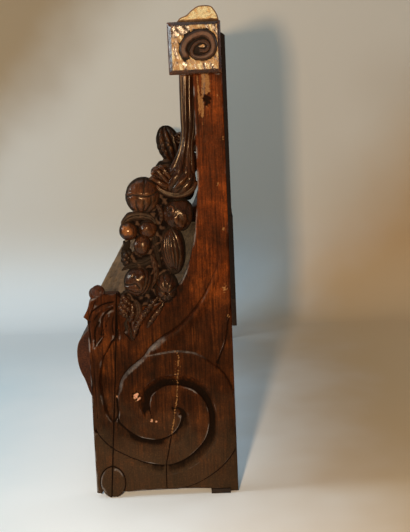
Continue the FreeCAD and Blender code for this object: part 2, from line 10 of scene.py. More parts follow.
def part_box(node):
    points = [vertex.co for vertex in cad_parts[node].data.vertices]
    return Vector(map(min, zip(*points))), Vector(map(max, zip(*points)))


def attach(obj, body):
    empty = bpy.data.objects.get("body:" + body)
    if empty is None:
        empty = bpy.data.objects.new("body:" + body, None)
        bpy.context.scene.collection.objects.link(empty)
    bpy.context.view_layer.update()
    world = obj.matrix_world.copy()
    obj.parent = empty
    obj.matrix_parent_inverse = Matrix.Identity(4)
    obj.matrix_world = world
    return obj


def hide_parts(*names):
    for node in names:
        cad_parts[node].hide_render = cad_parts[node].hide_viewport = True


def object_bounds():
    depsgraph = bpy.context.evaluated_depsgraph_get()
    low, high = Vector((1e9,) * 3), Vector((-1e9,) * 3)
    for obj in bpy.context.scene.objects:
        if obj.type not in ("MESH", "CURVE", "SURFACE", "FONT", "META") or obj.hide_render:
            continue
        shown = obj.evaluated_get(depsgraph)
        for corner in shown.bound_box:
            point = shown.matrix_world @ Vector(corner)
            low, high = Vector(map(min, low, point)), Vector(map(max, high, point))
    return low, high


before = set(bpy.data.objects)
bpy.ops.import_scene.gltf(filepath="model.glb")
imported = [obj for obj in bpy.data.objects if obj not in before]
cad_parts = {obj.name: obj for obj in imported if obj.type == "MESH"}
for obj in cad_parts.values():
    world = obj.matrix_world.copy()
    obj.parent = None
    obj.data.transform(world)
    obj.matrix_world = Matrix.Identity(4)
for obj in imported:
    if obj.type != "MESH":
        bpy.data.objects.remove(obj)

bl_info = {
    "name": "Carved hall bench",
    "version": (1, 0, 0),
    "blender": (4, 5, 0),
    "location": "View3D > Sidebar > Bench",
    "description": "Builds the carved bench around its packed frame, piece by piece",
    "category": "Object",
}

CAD_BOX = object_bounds()
MM = 0.001


def far_corner(node):
    """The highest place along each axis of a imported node's box, in millimetres."""
    return np.array(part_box(node)[1]) / MM


# Places on an end are (reach, height) in millimetres: reach runs forward from the planks' rear edge
REAR = far_corner("right_main_plank")[1]
HALF = far_corner("upper_back_board")[0]
INNER, _, SEAT_TOP = far_corner("seat_front_board")
MIDDLE = (HALF + INNER) / 2

# Straight edges of the ends and the seat
POST_REACH, POST_TOP = 71, 1067
CAPITAL_REACH, CAPITAL_TOP, CAPITAL_PROUD = 127, 1190, 12
BEVEL_REAR, BEVEL_FRONT, BEVEL_LOW, BEVEL_HIGH = 7.5, 10.0, 10.0, 9.0
JOINT_TOP, JOINT_FOOT = (285, 537), (328, 0)
FACE_DEPTH = 19
SEAT_LOW, SEAT_JOINT = 462, 185.8

# Edges of the carving on an end
SWEEP = [(71, 790), (78, 728), (85, 672), (96, 625), (110, 585), (128, 552), (152, 528), (178, 510),
         (206, 502), (232, 502), (256, 509), (273, 522), (285, 537)]
LONG_RIM = [(24.5, 735), (25.5, 700), (26, 686), (27.5, 619.5), (38, 584), (56, 546), (77, 510), (104, 476.5),
            (130, 452), (146, 440), (180, 418.5), (209, 394.5), (226, 372.5), (248, 354), (266, 340), (284, 318),
            (294, 292.5), (299.4, 270)]
RIM_FOOT = [(299.4, 270), (298.7, 245), (299, 222), (306, 206)]
LEAF_REAR = [(286, 545), (287, 500), (291, 450), (293, 429), (306, 413), (318, 390.5), (329, 374), (334, 354),
             (340, 312), (336.5, 271.5), (330.5, 236), (323, 216), (314, 203)]
ARCH = [(226, 372.5), (199, 377), (171, 381), (141, 383), (100, 377), (73, 363), (47, 342), (26, 321.5),
        (13, 298), (3, 269), (-3, 245)]
LOW_ARCH = [(-4, 136), (3, 124), (18, 101), (35, 81), (58, 61), (87, 42), (116, 28), (158, 17), (190, 8)]
REAR_CONTOUR = [(-4, 540), (0.3, 511), (10, 466), (19, 420), (22.6, 401), (31.6, 378.5), (42, 355)]
FRONT_WALL = [(358, 191), (351, 173.5), (338, 155.5), (320, 137), (307, 128), (279, 112), (263, 104), (225, 90),
              (183, 84), (155, 89), (126.5, 102.6), (100, 125), (80, 150.5), (70, 179), (67.5, 208), (73, 237.5),
              (86, 261), (104, 279), (123, 288), (145, 293.5), (173, 293), (192, 285), (210, 272), (216, 255),
              (217, 238), (215, 223)]
FRONT_LIP = [(213, 203), (224, 206), (235, 215), (242, 233), (245, 250), (240, 273), (231, 290), (213.5, 306),
             (190.5, 318), (169, 322), (144, 322), (116.5, 318), (95, 310), (76, 295), (66, 277.5), (58, 258),
             (52, 236), (47, 207), (46.5, 178), (50.5, 149), (61, 126.5), (79, 103), (110, 79), (147, 62),
             (190, 56), (240, 66), (290, 92), (330, 128), (364, 168)]
REAR_WALL = [(298.9, 245), (298.4, 222.6), (294, 203), (281, 188), (268, 176), (249, 163), (232.5, 157),
             (205, 153), (182, 158), (165, 166), (151, 180), (142, 197), (139, 211)]
REAR_LIP = [(167, 238.5), (156, 242), (148, 242), (142, 240), (126, 228), (119, 210), (115, 190), (121, 170),
            (130, 152.5), (144.5, 136), (167, 129), (195, 130), (223, 133), (250, 140), (277, 153), (304, 172)]
CRACK = [(138, 374), (141, 340), (144, 309), (146.5, 280), (148, 256), (152, 236), (155, 222), (160, 190),
         (166, 162), (169, 148), (176, 115), (183, 82), (184, 50), (185, 17)]
EYE = (150, 223)
CHIP = (250, 270)
LEAF_GROOVES = [
    ([(294.7, 517), (316, 514), (335.8, 504), (350, 493), (357, 477)], 2.2, 2.6),
    ([(297.9, 501.8), (311.9, 492.5), (322.3, 479.2), (326.1, 463.6), (326, 449.7), (329, 436)], 3.4, 3.0),
    ([(334.6, 465.9), (343.4, 448.5), (345.8, 426.7), (346, 404)], 3.2, 2.8),
    ([(316, 457.2), (322.4, 445.6), (323.4, 429.8)], 2.0, 2.2),
    ([(290.9, 489.7), (297.7, 472.2), (299.9, 452.6), (296.8, 430)], 1.6, 2.2),
    ([(340, 520), (346, 505), (351, 492)], 1.4, 1.8),
    ([(360.5, 470), (359, 450), (357.5, 425), (356, 395), (353, 340), (353, 280), (352, 215)], 1.3, 2.2),
]
LEAF_RIDGES = [
    ([(296.1, 509), (312.7, 504), (330.4, 496), (344, 484), (351, 470), (352, 445), (349, 420)], 1.4, 3.2),
    ([(323.3, 431.8), (331.6, 422.2), (337.9, 414.5), (347.4, 400.9)], 2.2, 1.8),
    ([(306.2, 483), (317, 470), (319, 452)], 1.2, 2.6),
]
RELIEF_LEAF = [(267.5, 463), (263, 449), (272, 436), (262, 424), (256.8, 412), (247, 421), (237, 436), (245, 449),
               (243, 463), (255, 470)]
ROUNDEL = (323, 41, 32, 42)
CREST = [(102.5, 1190), (102, 1191.5), (94.7, 1199), (80, 1205), (68, 1215), (55.7, 1223.2), (43.7, 1226),
         (29.6, 1225.7), (20, 1223), (13.4, 1215.5), (6.8, 1204), (3.2, 1190)]
SWELL = [(365, 440), (382, 422), (393.4, 407), (399, 388), (400, 368), (398.4, 347.5), (392.7, 325.3),
         (383.9, 305), (374.5, 273.5), (367.1, 255)]
CURL = [(85.4, 1110.6), (90.5, 1123.3), (85.4, 1139.4), (72.5, 1152.1), (56.1, 1159.1), (39.7, 1160.7),
        (26.8, 1154.4), (20.3, 1141.7), (19.3, 1127.9), (24.5, 1115.2), (37.4, 1107.1), (53.8, 1105.9),
        (66.7, 1110.6), (70.5, 1120.5), (64, 1133.5), (51.4, 1142), (38.5, 1142), (30.5, 1134.5), (31, 1126),
        (39.5, 1120.5),
        (51.4, 1121.5)]


def flow(points, step=2.0):
    """A smooth run through the points, sampled at about even steps."""
    p = np.array(points, float)
    ends = np.vstack([2 * p[0] - p[1], p, 2 * p[-1] - p[-2]])
    rows = []
    for i in range(len(p) - 1):
        a, b, c, d = ends[i:i + 4]
        count = max(1, int(np.linalg.norm(c - b) / step))
        t = np.arange(count)[:, None] / count
        rows.append(0.5 * (2 * b + (c - a) * t + (2 * a - 5 * b + 4 * c - d) * t ** 2
                           + (3 * b - a - 3 * c + d) * t ** 3))
    rows.append(p[-1:])
    return np.vstack(rows)


def straight(points, step=3.0):
    """A run of straight edges, sampled at about even steps."""
    rows = []
    for a, b in zip(points[:-1], points[1:]):
        a, b = np.array(a, float), np.array(b, float)
        count = max(1, int(np.linalg.norm(b - a) / step))
        rows.append(a + (b - a) * (np.arange(count)[:, None] / count))
    rows.append(np.array(points[-1:], float))
    return np.vstack(rows)


def block(low, high):
    """The four corners between two places."""
    return [low, (high[0], low[1]), high, (low[0], high[1])]


def rounded(corners, radius, step=4.0):
    """A closed outline of straight edges with small round corners."""
    c = np.array(corners, float)
    n = len(c)
    stops = []
    for i in range(n):
        back = c[i - 1] - c[i]
        ahead = c[(i + 1) % n] - c[i]
        back /= np.linalg.norm(back)
        ahead /= np.linalg.norm(ahead)
        a, b = c[i] + back * radius, c[i] + ahead * radius
        stops += [a, (a + b) * 0.25 + c[i] * 0.5 + (a + b - 2 * c[i]) * 0.04, b]
    return straight(stops + stops[:1], step)[:-1]


def nearest(points, curve):
    """Distance to a run of points, which side of it each place lies on, and how far along."""
    a, run = curve[:-1], np.diff(curve, axis=0)
    length = np.maximum((run ** 2).sum(1), 1e-9)
    start = np.concatenate([[0], np.cumsum(np.sqrt(length))])[:-1]
    found = []
    for part in np.array_split(points, max(1, len(points) * len(a) // 3000000)):
        off = part[:, None, :] - a[None]
        t = np.clip((off * run).sum(2) / length, 0, 1)
        gap = off - t[..., None] * run
        square = (gap ** 2).sum(2)
        k = square.argmin(1)
        i = np.arange(len(part))
        side = run[k, 0] * off[i, k, 1] - run[k, 1] * off[i, k, 0]
        found.append(np.column_stack([
            np.sqrt(square[i, k]), np.where(side >= 0, 1.0, -1.0), start[k] + t[i, k] * np.sqrt(length[k])]))
    return np.vstack(found).T


def inside(points, outline):
    """Whether each place lies inside a closed outline."""
    x, y = points[:, 0], points[:, 1]
    odd = np.zeros(len(points), bool)
    x1, y1 = outline[-1]
    for x2, y2 in outline:
        if y1 != y2:
            crosses = ((y1 > y) != (y2 > y)) & (x < (x2 - x1) * (y - y1) / (y2 - y1) + x1)
            odd ^= crosses
        x1, y1 = x2, y2
    return odd


def ease(value, start, end):
    """Goes smoothly from 0 at the start to 1 at the end. The start may be the higher value."""
    t = np.clip((value - start) / (end - start), 0, 1)
    return t * t * (3 - 2 * t)


def round_over(t):
    """Rises from 0 to 1 like a quarter circle."""
    t = np.clip(t, 0, 1)
    return np.sqrt(1 - (1 - t) ** 2)


def ripple(places, size, seed, waves=7):
    """Smooth uneven values between about -1 and 1, the same on every run."""
    rng = np.random.default_rng(seed)
    total = np.zeros(len(places))
    for i in range(waves):
        direction = rng.normal(size=places.shape[1])
        direction /= np.linalg.norm(direction)
        rate = 2 * math.pi / size * rng.uniform(0.6, 1.7)
        total += np.sin(places @ direction * rate + rng.uniform(0, 6.28))
    return total / math.sqrt(waves) / 1.3


LONG_RIM_RUN = flow(LONG_RIM)
ARCH_RUN = flow(ARCH)
FRONT_WALL_RUN = flow(FRONT_WALL)
FRONT_LIP_RUN = flow(FRONT_LIP)
REAR_WALL_RUN = flow(REAR_WALL)
REAR_LIP_RUN = flow(REAR_LIP)
LEAF_REAR_RUN = flow(LEAF_REAR)
RIM_FOOT_RUN = flow(RIM_FOOT)
LOW_ARCH_RUN = flow(LOW_ARCH)
REAR_CONTOUR_RUN = flow(REAR_CONTOUR)
CRACK_RUN = flow(CRACK)
CURL_RUN = flow(CURL, 1.5)
GROUND_AREA = np.vstack([LONG_RIM_RUN, RIM_FOOT_RUN, LEAF_REAR_RUN[::-1], [(286, 820), (24.5, 820)]])
DISC_AREA = np.vstack([ARCH_RUN, LOW_ARCH_RUN, [(300, -20), (420, -20), (420, 200), (306, 206)],
                       RIM_FOOT_RUN[::-1], LONG_RIM_RUN[::-1][:np.argmin(
                           np.abs(LONG_RIM_RUN[::-1][:, 1] - 372.5))]])
REAR_CORNER_AREA = np.vstack([REAR_CONTOUR_RUN, ARCH_RUN[np.argmin(np.abs(ARCH_RUN[:, 0] - 42)):],
                              [(-20, 240), (-20, 560)]])
FRONT_GROOVE_AREA = np.vstack([FRONT_WALL_RUN, FRONT_LIP_RUN])
REAR_GROOVE_AREA = np.vstack([REAR_WALL_RUN, REAR_LIP_RUN])


def groove(p, wall, lip, area, depth, wall_width):
    """Steep at the wall, then a hollow slope out to the lip."""
    to_wall = nearest(p, wall)[0]
    to_lip = nearest(p, lip)[0]
    t = to_wall / (to_wall + to_lip + 1e-6)
    level = -depth * (1 - t ** 2.2) * round_over(to_wall / wall_width)
    return np.where(inside(p, area), level, 0.0)


def end_relief(p):
    """Depth of the carving on the outer face of an end, in millimetres, 0 at the face."""
    r, z = p[:, 0], p[:, 1]
    ground_depth = 13.5 * ease(z, 700, 430) * (1 - 0.7 * ease(z, 240, 203))
    ground_depth *= 1 - 0.35 * ease(r, 200, 284) * ease(z, 440, 520)
    rim = nearest(p, LONG_RIM_RUN)[0]
    to_leaf = nearest(p, LEAF_REAR_RUN)[0]
    in_ground = inside(p, GROUND_AREA)
    in_disc = inside(p, DISC_AREA)

    ground = -ground_depth - 1.4 * np.exp(-(to_leaf / 8) ** 2) * ease(z, 500, 420)
    ground += 0.35 * ripple(p, 62, 3) * ease(z, 690, 600)

    bevel = np.interp(z, [268, 290, 335, 400, 450, 530, 700], [3.5, 8, 12.5, 11, 8, 5, 3.5])
    beyond = np.where(in_ground, 0.0, rim)
    rising = -ground_depth * (1 - round_over(beyond / bevel))
    flat_level = np.interp(z, [380, 440, 560, 690], [-4.6, -4.0, -2.6, 0.0])
    behind = (rim - bevel) / 24
    roll = flat_level * ease(behind, 0.15, 1)
    roll = roll - 0.7 * np.sin(math.pi * np.clip(behind, 0, 1)) ** 2 * ease(z, 680, 480)
    field = np.where(rim < bevel, rising, roll)
    in_corner = inside(p, REAR_CORNER_AREA)
    corner_edge = nearest(p, REAR_CONTOUR_RUN)[0]
    field = field - np.where(in_corner, 2.4 * ease(corner_edge, 0, 3.5), 0)
    field = field + 0.7 * np.exp(-(corner_edge / 2.2) ** 2)

    arch = nearest(p, ARCH_RUN)[0]
    disc = np.minimum(field * 0, np.where(rim < bevel, rising, 0))
    disc = np.minimum(disc, flat_level * (1 - round_over(arch / 6.5)))
    disc = np.where(arch < 12, disc + 0.5 * np.exp(-((arch - 7) / 2.5) ** 2), disc)
    low = nearest(p, LOW_ARCH_RUN)[0]
    below = np.where(z < 245, -2.6 * ease(low, 0, 2.2), field)
    foot_edge = nearest(p, RIM_FOOT_RUN)[0]
    disc = np.minimum(disc, np.where(z < 275, -ground_depth * (1 - round_over(foot_edge / 4.0)), 0))
    leaf_wall = -ground_depth * (1 - round_over(to_leaf / 3.2))

    h = np.where(in_ground, ground, np.where(in_disc, disc, np.where(z < 245, below, field)))
    on_band = ~in_ground & (nearest(p, LEAF_REAR_RUN)[1] > 0) & (z > 203) & (r > 280)
    h = np.where(on_band, leaf_wall, h)
    stalk = on_band & (z < 470)
    h = h - np.where(stalk, 5.0 * ease(r, 344, 367) * ease(z, 190, 250), 0)

    fade = np.where((z < 175) & (r > 150), 1 - 0.86 * ease(r, 180, 300), 1.0)
    mouth = np.hypot(r - 214, z - 213)
    fade = fade * (0.15 + 0.85 * ease(mouth, 6, 30))
    h = h + groove(p, FRONT_WALL_RUN, FRONT_LIP_RUN, FRONT_GROOVE_AREA, 11.5, 2.2) * fade
    fade = np.where(z < 240, 1 - 0.85 * ease(r, 262, 302), 1.0)
    h = h + groove(p, REAR_WALL_RUN, REAR_LIP_RUN, REAR_GROOVE_AREA, 9.5, 2.0) * fade
    eye = np.hypot(r - EYE[0], z - EYE[1])
    h = np.maximum(h, -8.5 + 9.5 * np.sqrt(np.clip(1 - (eye / 10.5) ** 2, 0, 1)) - np.where(eye < 10.5, 0, 99))

    for points, depth, width in LEAF_GROOVES:
        h = h - depth * np.exp(-(nearest(p, flow(points))[0] / width) ** 2)
    for points, height, width in LEAF_RIDGES:
        h = h + height * np.exp(-(nearest(p, flow(points))[0] / width) ** 2)
    leaf_dome = np.hypot((r - 330) / 45, (z - 470) / 75)
    h = h - np.where(r > 287, 3.2 * ease(leaf_dome, 0.5, 1.2) * ease(z, 400, 430), 0)
    leaf_edge = nearest(p, flow(RELIEF_LEAF + RELIEF_LEAF[:1]))[0]
    small_leaf = inside(p, flow(RELIEF_LEAF + RELIEF_LEAF[:1]))
    vein = nearest(p, flow([(256, 466), (254, 440), (257, 415)]))[0]
    h = h + np.where(small_leaf, 6.5 * round_over(leaf_edge / 7) - 2.4 * np.exp(-(vein / 1.8) ** 2), 0)

    cx, cz, half_r, half_z = ROUNDEL
    q = np.hypot((r - cx) / half_r, (z - cz) / half_z)
    h = h + np.where(q < 1, 5.2 * round_over((1 - q) / 0.16), -1.8 * np.exp(-((q - 1) / 0.05) ** 2))

    crack = nearest(p, CRACK_RUN)[0]
    h = h - 1.8 * np.exp(-(crack / 0.9) ** 2)
    chip = np.hypot(r - CHIP[0], z - CHIP[1]) / 13 + 0.35 * ripple(p, 11, 8)
    h = h - 2.2 * ease(chip, 1.0, 0.55) * (0.7 + 0.5 * ripple(p, 5, 9))
    h = h + 0.2 * ripple(p, 60, 4) + 0.06 * ripple(p * np.array([1.0, 0.05]), 7, 5)
    return h


def bare_wood(p):
    """Where pale wood (1) or light filler (about a half) shows on an end."""
    r, z = p[:, 0], p[:, 1]
    rough = ripple(p, 9, 21)
    chip = np.hypot(r - CHIP[0], (z - CHIP[1]) * 0.8) / 9.5 + 0.42 * ripple(p, 12, 8)
    mask = ease(chip, 1.0, 0.6)
    for cx, cz, size in ((299.5, 268, 4), (214, 203, 5), (203, 201, 4)):
        spot = np.hypot(r - cx, z - cz) / size + 0.35 * rough
        mask = np.maximum(mask, ease(spot, 1.1, 0.5))
    for cx, cz, size in ((15, 541, 8), (5, 912, 4), (22, 800, 3), (8, 1010, 3), (12, 690, 5), (9, 470, 4)):
        spot = np.hypot(r - cx, (z - cz) * 0.6) / size + 0.45 * rough
        mask = np.maximum(mask, 0.56 * ease(spot, 1.1, 0.5))
    crack = nearest(p, CRACK_RUN)[0]
    beside = np.minimum(np.abs(crack - 6.5) + 1.4, np.abs(crack - 12) + 2.0) + 3 * ease(z, 310, 280)
    filler = ease(np.minimum(crack, beside) + 1.6 * rough, 3.2, 0.7) * ease(z, 135, 175)
    return np.maximum(mask, 0.6 * filler)


def joint_at(height):
    """Reach of the joint between the two planks of an end."""
    return JOINT_TOP[0] + (JOINT_FOOT[0] - JOINT_TOP[0]) * (JOINT_TOP[1] - height) / JOINT_TOP[1]


def dark_places(p, seam):
    """The joint's dark line, dark wax with painted shade under the walls of the grooves, and the low end of the
    crack.
    """
    reach = np.interp(p[:, 1], [225, 268], [4.5, 19])
    front_wall, rear_wall, crack = [nearest(p, run)[0] for run in (FRONT_WALL_RUN, REAR_WALL_RUN, CRACK_RUN)]
    dirt_and_shade = ease(seam, 2.6, 0.9)
    dirt_and_shade = np.maximum(dirt_and_shade, 0.85 * ease(front_wall, reach, reach * 0.3) * inside(p, FRONT_GROOVE_AREA))
    dirt_and_shade = np.maximum(dirt_and_shade, 0.8 * ease(rear_wall, 9, 2.5) * inside(p, REAR_GROOVE_AREA))
    return np.maximum(dirt_and_shade, ease(crack, 1.8, 0.7) * ease(p[:, 1], 170, 140))


def painted_rim_sheen(p, broken):
    """Where a pale sheen is painted on the long rim's bevel and the edge over the volute: a painted reflection of
    the floor and window.
    """
    bevel = np.interp(p[:, 1], [268, 290, 335, 400, 450], [3.5, 8, 11, 8, 5])
    pale = ease(nearest(p, LONG_RIM_RUN)[0] / bevel, 1.0, 0.75) * ease(p[:, 1], 275, 310) * ease(p[:, 1], 470, 380)
    pale = pale * (0.45 + 0.4 * broken)
    pale = np.maximum(pale, 0.62 * ease(nearest(p, ARCH_RUN)[0], 3.6, 1.2) * ease(p[:, 0], 40, 110))
    return pale * ~inside(p, GROUND_AREA)


def post_streaks_and_glare(p):
    """Pale gold streaks at the top of the post, worn grain with painted glare, the brightest of them a painted
    highlight, and how far each place is from a dark knot.
    """
    r, z = p[:, 0], p[:, 1]
    sway = 3.5 * ripple(p[:, 1:], 60, 79)
    drawn = 0.45 * ripple(p * np.array([1, 0.06]), 11, 77) + 0.35 * ripple(p * np.array([1, 0.03]), 8, 83)
    drawn = np.clip(0.56 + drawn, 0, 1)
    gold = drawn * ease(r, 24, 34) * ease(r, 66, 58) * ease(z, 900, 1000)
    gold += 0.5 * drawn * ease(r, 22, 16) * ease(r, 8, 12) * ease(z, 930, 1020)
    bright = np.exp(-((r - 46 - sway) / 5) ** 2) * ease(z, 960, 1020)
    knot = np.hypot((r - 38) / 10, (z - 1006) / 15) + 0.3 * ripple(p, 12, 80)
    return gold, bright, knot


def end_marks(co, wear_and_highlight, wax_and_shade):
    """Wear with painted highlight, dark wax with painted shade, and bare places with painted glare on an end,
    nearly all of them on its outer face.
    """
    p = np.column_stack([REAR - co[:, 1], co[:, 2]])
    face = np.abs(co[:, 0]) > HALF - FACE_DEPTH
    seam = np.where(p[:, 1] < 545, np.abs(p[:, 0] - joint_at(p[:, 1])), 99)
    carved = np.min([nearest(p, run)[0] for run in (LONG_RIM_RUN, LEAF_REAR_RUN, ARCH_RUN)], axis=0)
    broken = np.clip(0.45 + 0.75 * ripple(p, 75, 78), 0.1, 1)
    leaf = face * ease(p[:, 0], 286, 292) * ease(p[:, 1], 390, 425)
    gold, bright, knot = post_streaks_and_glare(p)
    clear = ease(knot, 0.8, 1.2)

    # Less dark near the carved rims; on the leaf the hollows go darker: painted shade
    wax_and_shade = wax_and_shade * (1 - 0.68 * ease(carved, 11, 5) * face)
    wax_and_shade = wax_and_shade * (1 + 0.9 * leaf) + 0.16 * leaf
    dirt_and_shade = np.maximum(dark_places(p, seam), 0.8 * ease(knot, 1.1, 0.6))
    low_corner = ease(p[:, 0], 120, 0) * ease(p[:, 1], 260, 120) * 0.25
    wax_and_shade = np.clip(wax_and_shade + np.where(face, dirt_and_shade + low_corner, 0), 0, 1)

    # Less rubbed at the rear edge, which stays dark; paler ridges on the leaf, the rims' painted reflection and the
    # post's brightest painted glare
    wear_and_highlight = wear_and_highlight * (1 + 0.8 * leaf) * (1 - 0.4 * ease(carved, 14, 5)) * (1 - 0.6 * ease(p[:, 0], 8, 3))
    wear_and_highlight = np.maximum(wear_and_highlight * ease(seam, 1.5, 7) * broken, 1.25 * painted_rim_sheen(p, broken) * face)
    wear_and_highlight = np.maximum(wear_and_highlight, bright * clear * face)
    # Bare wood and filler, and the post's pale gold streaks: worn grain with painted glare
    bare_and_glare = np.where(face, np.maximum(bare_wood(p), np.minimum(0.66, 0.95 * gold) * clear), 0.0)
    return wear_and_highlight, wax_and_shade, bare_and_glare


def drawn_points(outline, features, spacing, fine, band):
    """Places for the vertices of a carved face: open ground, then rows beside each carved edge."""
    closed = np.vstack([outline, outline[:1]])
    low, high = outline.min(0), outline.max(0)
    rows = []
    step = spacing * math.sqrt(3) / 2
    for i, y in enumerate(np.arange(low[1], high[1], step)):
        x = np.arange(low[0] + (i % 2) * spacing / 2, high[0], spacing)
        rows.append(np.column_stack([x, np.full(len(x), y)]))
    points = np.vstack(rows)
    for curve in features:
        points = points[nearest(points, curve)[0] > band]
    keep = inside(points, outline) & (nearest(points, closed)[0] > spacing * 0.7)
    points = points[keep]
    extra = []
    for curve in features:
        along = np.diff(curve, axis=0)
        along /= np.linalg.norm(along, axis=1)[:, None]
        normal = np.column_stack([-along[:, 1], along[:, 0]])
        base = (curve[:-1] + curve[1:]) / 2
        for offset in np.arange(-band, band + 0.01, fine):
            extra.append(base + normal * offset)
    if extra:
        extra = np.vstack(extra)
        extra = extra[inside(extra, outline) & (nearest(extra, closed)[0] > fine * 0.8)]
        cell = np.round(extra / (fine * 0.8)).astype(int)
        extra = extra[np.unique(cell, axis=0, return_index=True)[1]]
        points = np.vstack([points, extra])
    return points


def sheet(outline, inner_points):
    """Triangles over an outline and the places inside it, and which vertices lie along the outline."""
    n = len(outline)
    places = [Vector(p) for p in np.vstack([outline, inner_points])]
    ring = [(i, (i + 1) % n) for i in range(n)]
    verts, _, faces, sources = delaunay_2d_cdt(places, ring, [], 1, 1e-5)[:4]
    found = {i: k for k, given in enumerate(sources) for i in given}
    return np.array([tuple(v) for v in verts]), [tuple(f) for f in faces], [found[i] for i in range(n)]


def area_sign(outline):
    """1 for an outline that runs counterclockwise, -1 for one that runs clockwise."""
    x, y = outline[:, 0], outline[:, 1]
    return np.sign((x * np.roll(y, -1) - y * np.roll(x, -1)).sum())


def board_shape(outline, low, high, relief=None, edge=1.6, inner_edge=1.2, rows=12.0, features=(),
                spacing=6.0, fine=1.2, band=3.6, waviness=0.25, seed=1, edge_width=None):
    """A board cut to an outline in reach and height, lying between two places along X.

    The face at the high end carries the relief. Both faces are eased into the sides.
    """
    outline = outline if area_sign(outline) > 0 else outline[::-1]
    closed = np.vstack([outline, outline[:1]])
    ring = []
    for offset in (edge * 0.3, edge, edge * 2.2):
        along = np.roll(outline, -1, 0) - np.roll(outline, 1, 0)
        along /= np.linalg.norm(along, axis=1)[:, None]
        normal = np.column_stack([-along[:, 1], along[:, 0]])
        row = outline + normal * offset
        good = inside(row, outline) & (nearest(row, closed)[0] > offset * 0.8)
        ring.append(row[good])
    inner = drawn_points(outline, list(features), spacing, fine, band)
    inner = inner[nearest(inner, closed)[0] > edge * 2.2 + fine]
    flat, faces, border = sheet(outline, np.vstack([inner] + ring))
    radius = edge if edge_width is None else edge_width(flat)
    to_edge = nearest(flat, closed)[0]
    drop = radius * (1 - round_over(to_edge / radius))
    level = relief(flat) if relief else np.zeros(len(flat))
    level = level + waviness * 0.5 * ripple(flat, 45, seed)
    front_x = high + level - drop
    verts = [np.column_stack([front_x, REAR - flat[:, 0], flat[:, 1]])]
    out_faces = [tuple(reversed(f)) for f in faces]

    back, back_faces, _ = sheet(outline, drawn_points(outline, [], max(spacing * 1.6, 9.0), fine, band))
    back_edge = nearest(back, closed)[0] < 1e-3
    back_x = np.where(back_edge, low + inner_edge, low + waviness * 0.5 * ripple(back, 70, seed + 1))
    count = len(flat)
    out_faces += [tuple(i + count for i in f) for f in back_faces]
    verts.append(np.column_stack([back_x, REAR - back[:, 0], back[:, 1]]))
    count += len(back)

    edge_x = front_x[border]
    start = low + inner_edge
    n = len(outline)
    steps = max(2, int((high - start) / rows))
    along = np.roll(outline, -1, 0) - np.roll(outline, 1, 0)
    along /= np.linalg.norm(along, axis=1)[:, None]
    outward = np.column_stack([along[:, 1], -along[:, 0]])
    for k in range(steps + 1):
        t = k / steps
        x = start + (edge_x - start) * t
        inset = np.zeros(n)
        if 0 < k < steps:
            place = np.column_stack([x / 4, outline])
            inset = waviness * (0.5 * ripple(place, 30, seed + 2) - 0.5)
        moved = outline + outward * inset[:, None]
        verts.append(np.column_stack([x, REAR - moved[:, 0], moved[:, 1]]))
    for k in range(steps):
        a = count + k * n
        b = a + n
        for i in range(n):
            j = (i + 1) % n
            out_faces.append((a + i, a + j, b + j, b + i))
    return np.vstack(verts), out_faces


def ball_shape(centre, axis, half_long, half_short, form=None, around=64, along=34, squash=1.0, lines=(),
               lumps=0.7, seed=1):
    """A rounded body about an axis. form(turn, rise) gives its size factor at each place.

    centre is (reach, height, across); axis is (reach, height, across) too. squash narrows it across.
    lines are cuts (below 0) and ridges (above 0) drawn on its sides: places, height and width.
    """
    a = np.array(axis, float)
    a /= np.linalg.norm(a)
    helper = np.array([0, 0, 1.0]) if abs(a[2]) < 0.8 else np.array([0, 1.0, 0])
    u = np.cross(a, helper)
    u /= np.linalg.norm(u)
    v = np.cross(a, u)
    rise = np.linspace(0, math.pi, along + 1)
    turn = np.linspace(0, 2 * math.pi, around, endpoint=False)
    grid_rise = np.concatenate([[0], np.repeat(rise[1:-1], around), [math.pi]])
    grid_turn = np.concatenate([[0], np.tile(turn, along - 1), [0]])
    along_axis = np.cos(grid_rise)[:, None] * a
    off_axis = np.sin(grid_rise)[:, None] * (np.cos(grid_turn)[:, None] * u + np.sin(grid_turn)[:, None] * v)
    size = form(grid_turn, grid_rise) if form else np.ones(len(off_axis))
    body = half_long * along_axis + half_short * off_axis
    drawn = body[:, :2] + np.array(centre[:2], float)
    facing = ease(np.abs(along_axis + off_axis)[:, 2], 0.04, 0.4)
    carved = lumps * ripple(body, 34, seed) + 0.25 * lumps * ripple(body, 13, seed + 50)
    for points, height, width in lines:
        if len(points) == 1:
            gap = np.hypot(*(drawn - np.array(points[0])).T)
        else:
            gap = nearest(drawn, flow(points))[0]
        carved = carved + 0.85 * height * np.exp(-(gap / width) ** 2) * facing
    body = body * (size + carved / np.linalg.norm(body, axis=1))[:, None]
    body[:, 2] *= squash
    place = body + np.array(centre, float)
    verts = np.column_stack([place[:, 2], REAR - place[:, 0], place[:, 1]])
    faces = []
    last = len(verts) - 1
    for i in range(around):
        j = (i + 1) % around
        faces.append((0, 1 + i, 1 + j))
        faces.append((last, last - around + j, last - around + i))
        for k in range(along - 2):
            p, q = 1 + k * around, 1 + (k + 1) * around
            faces.append((p + i, q + i, q + j, p + j))
    return verts, faces


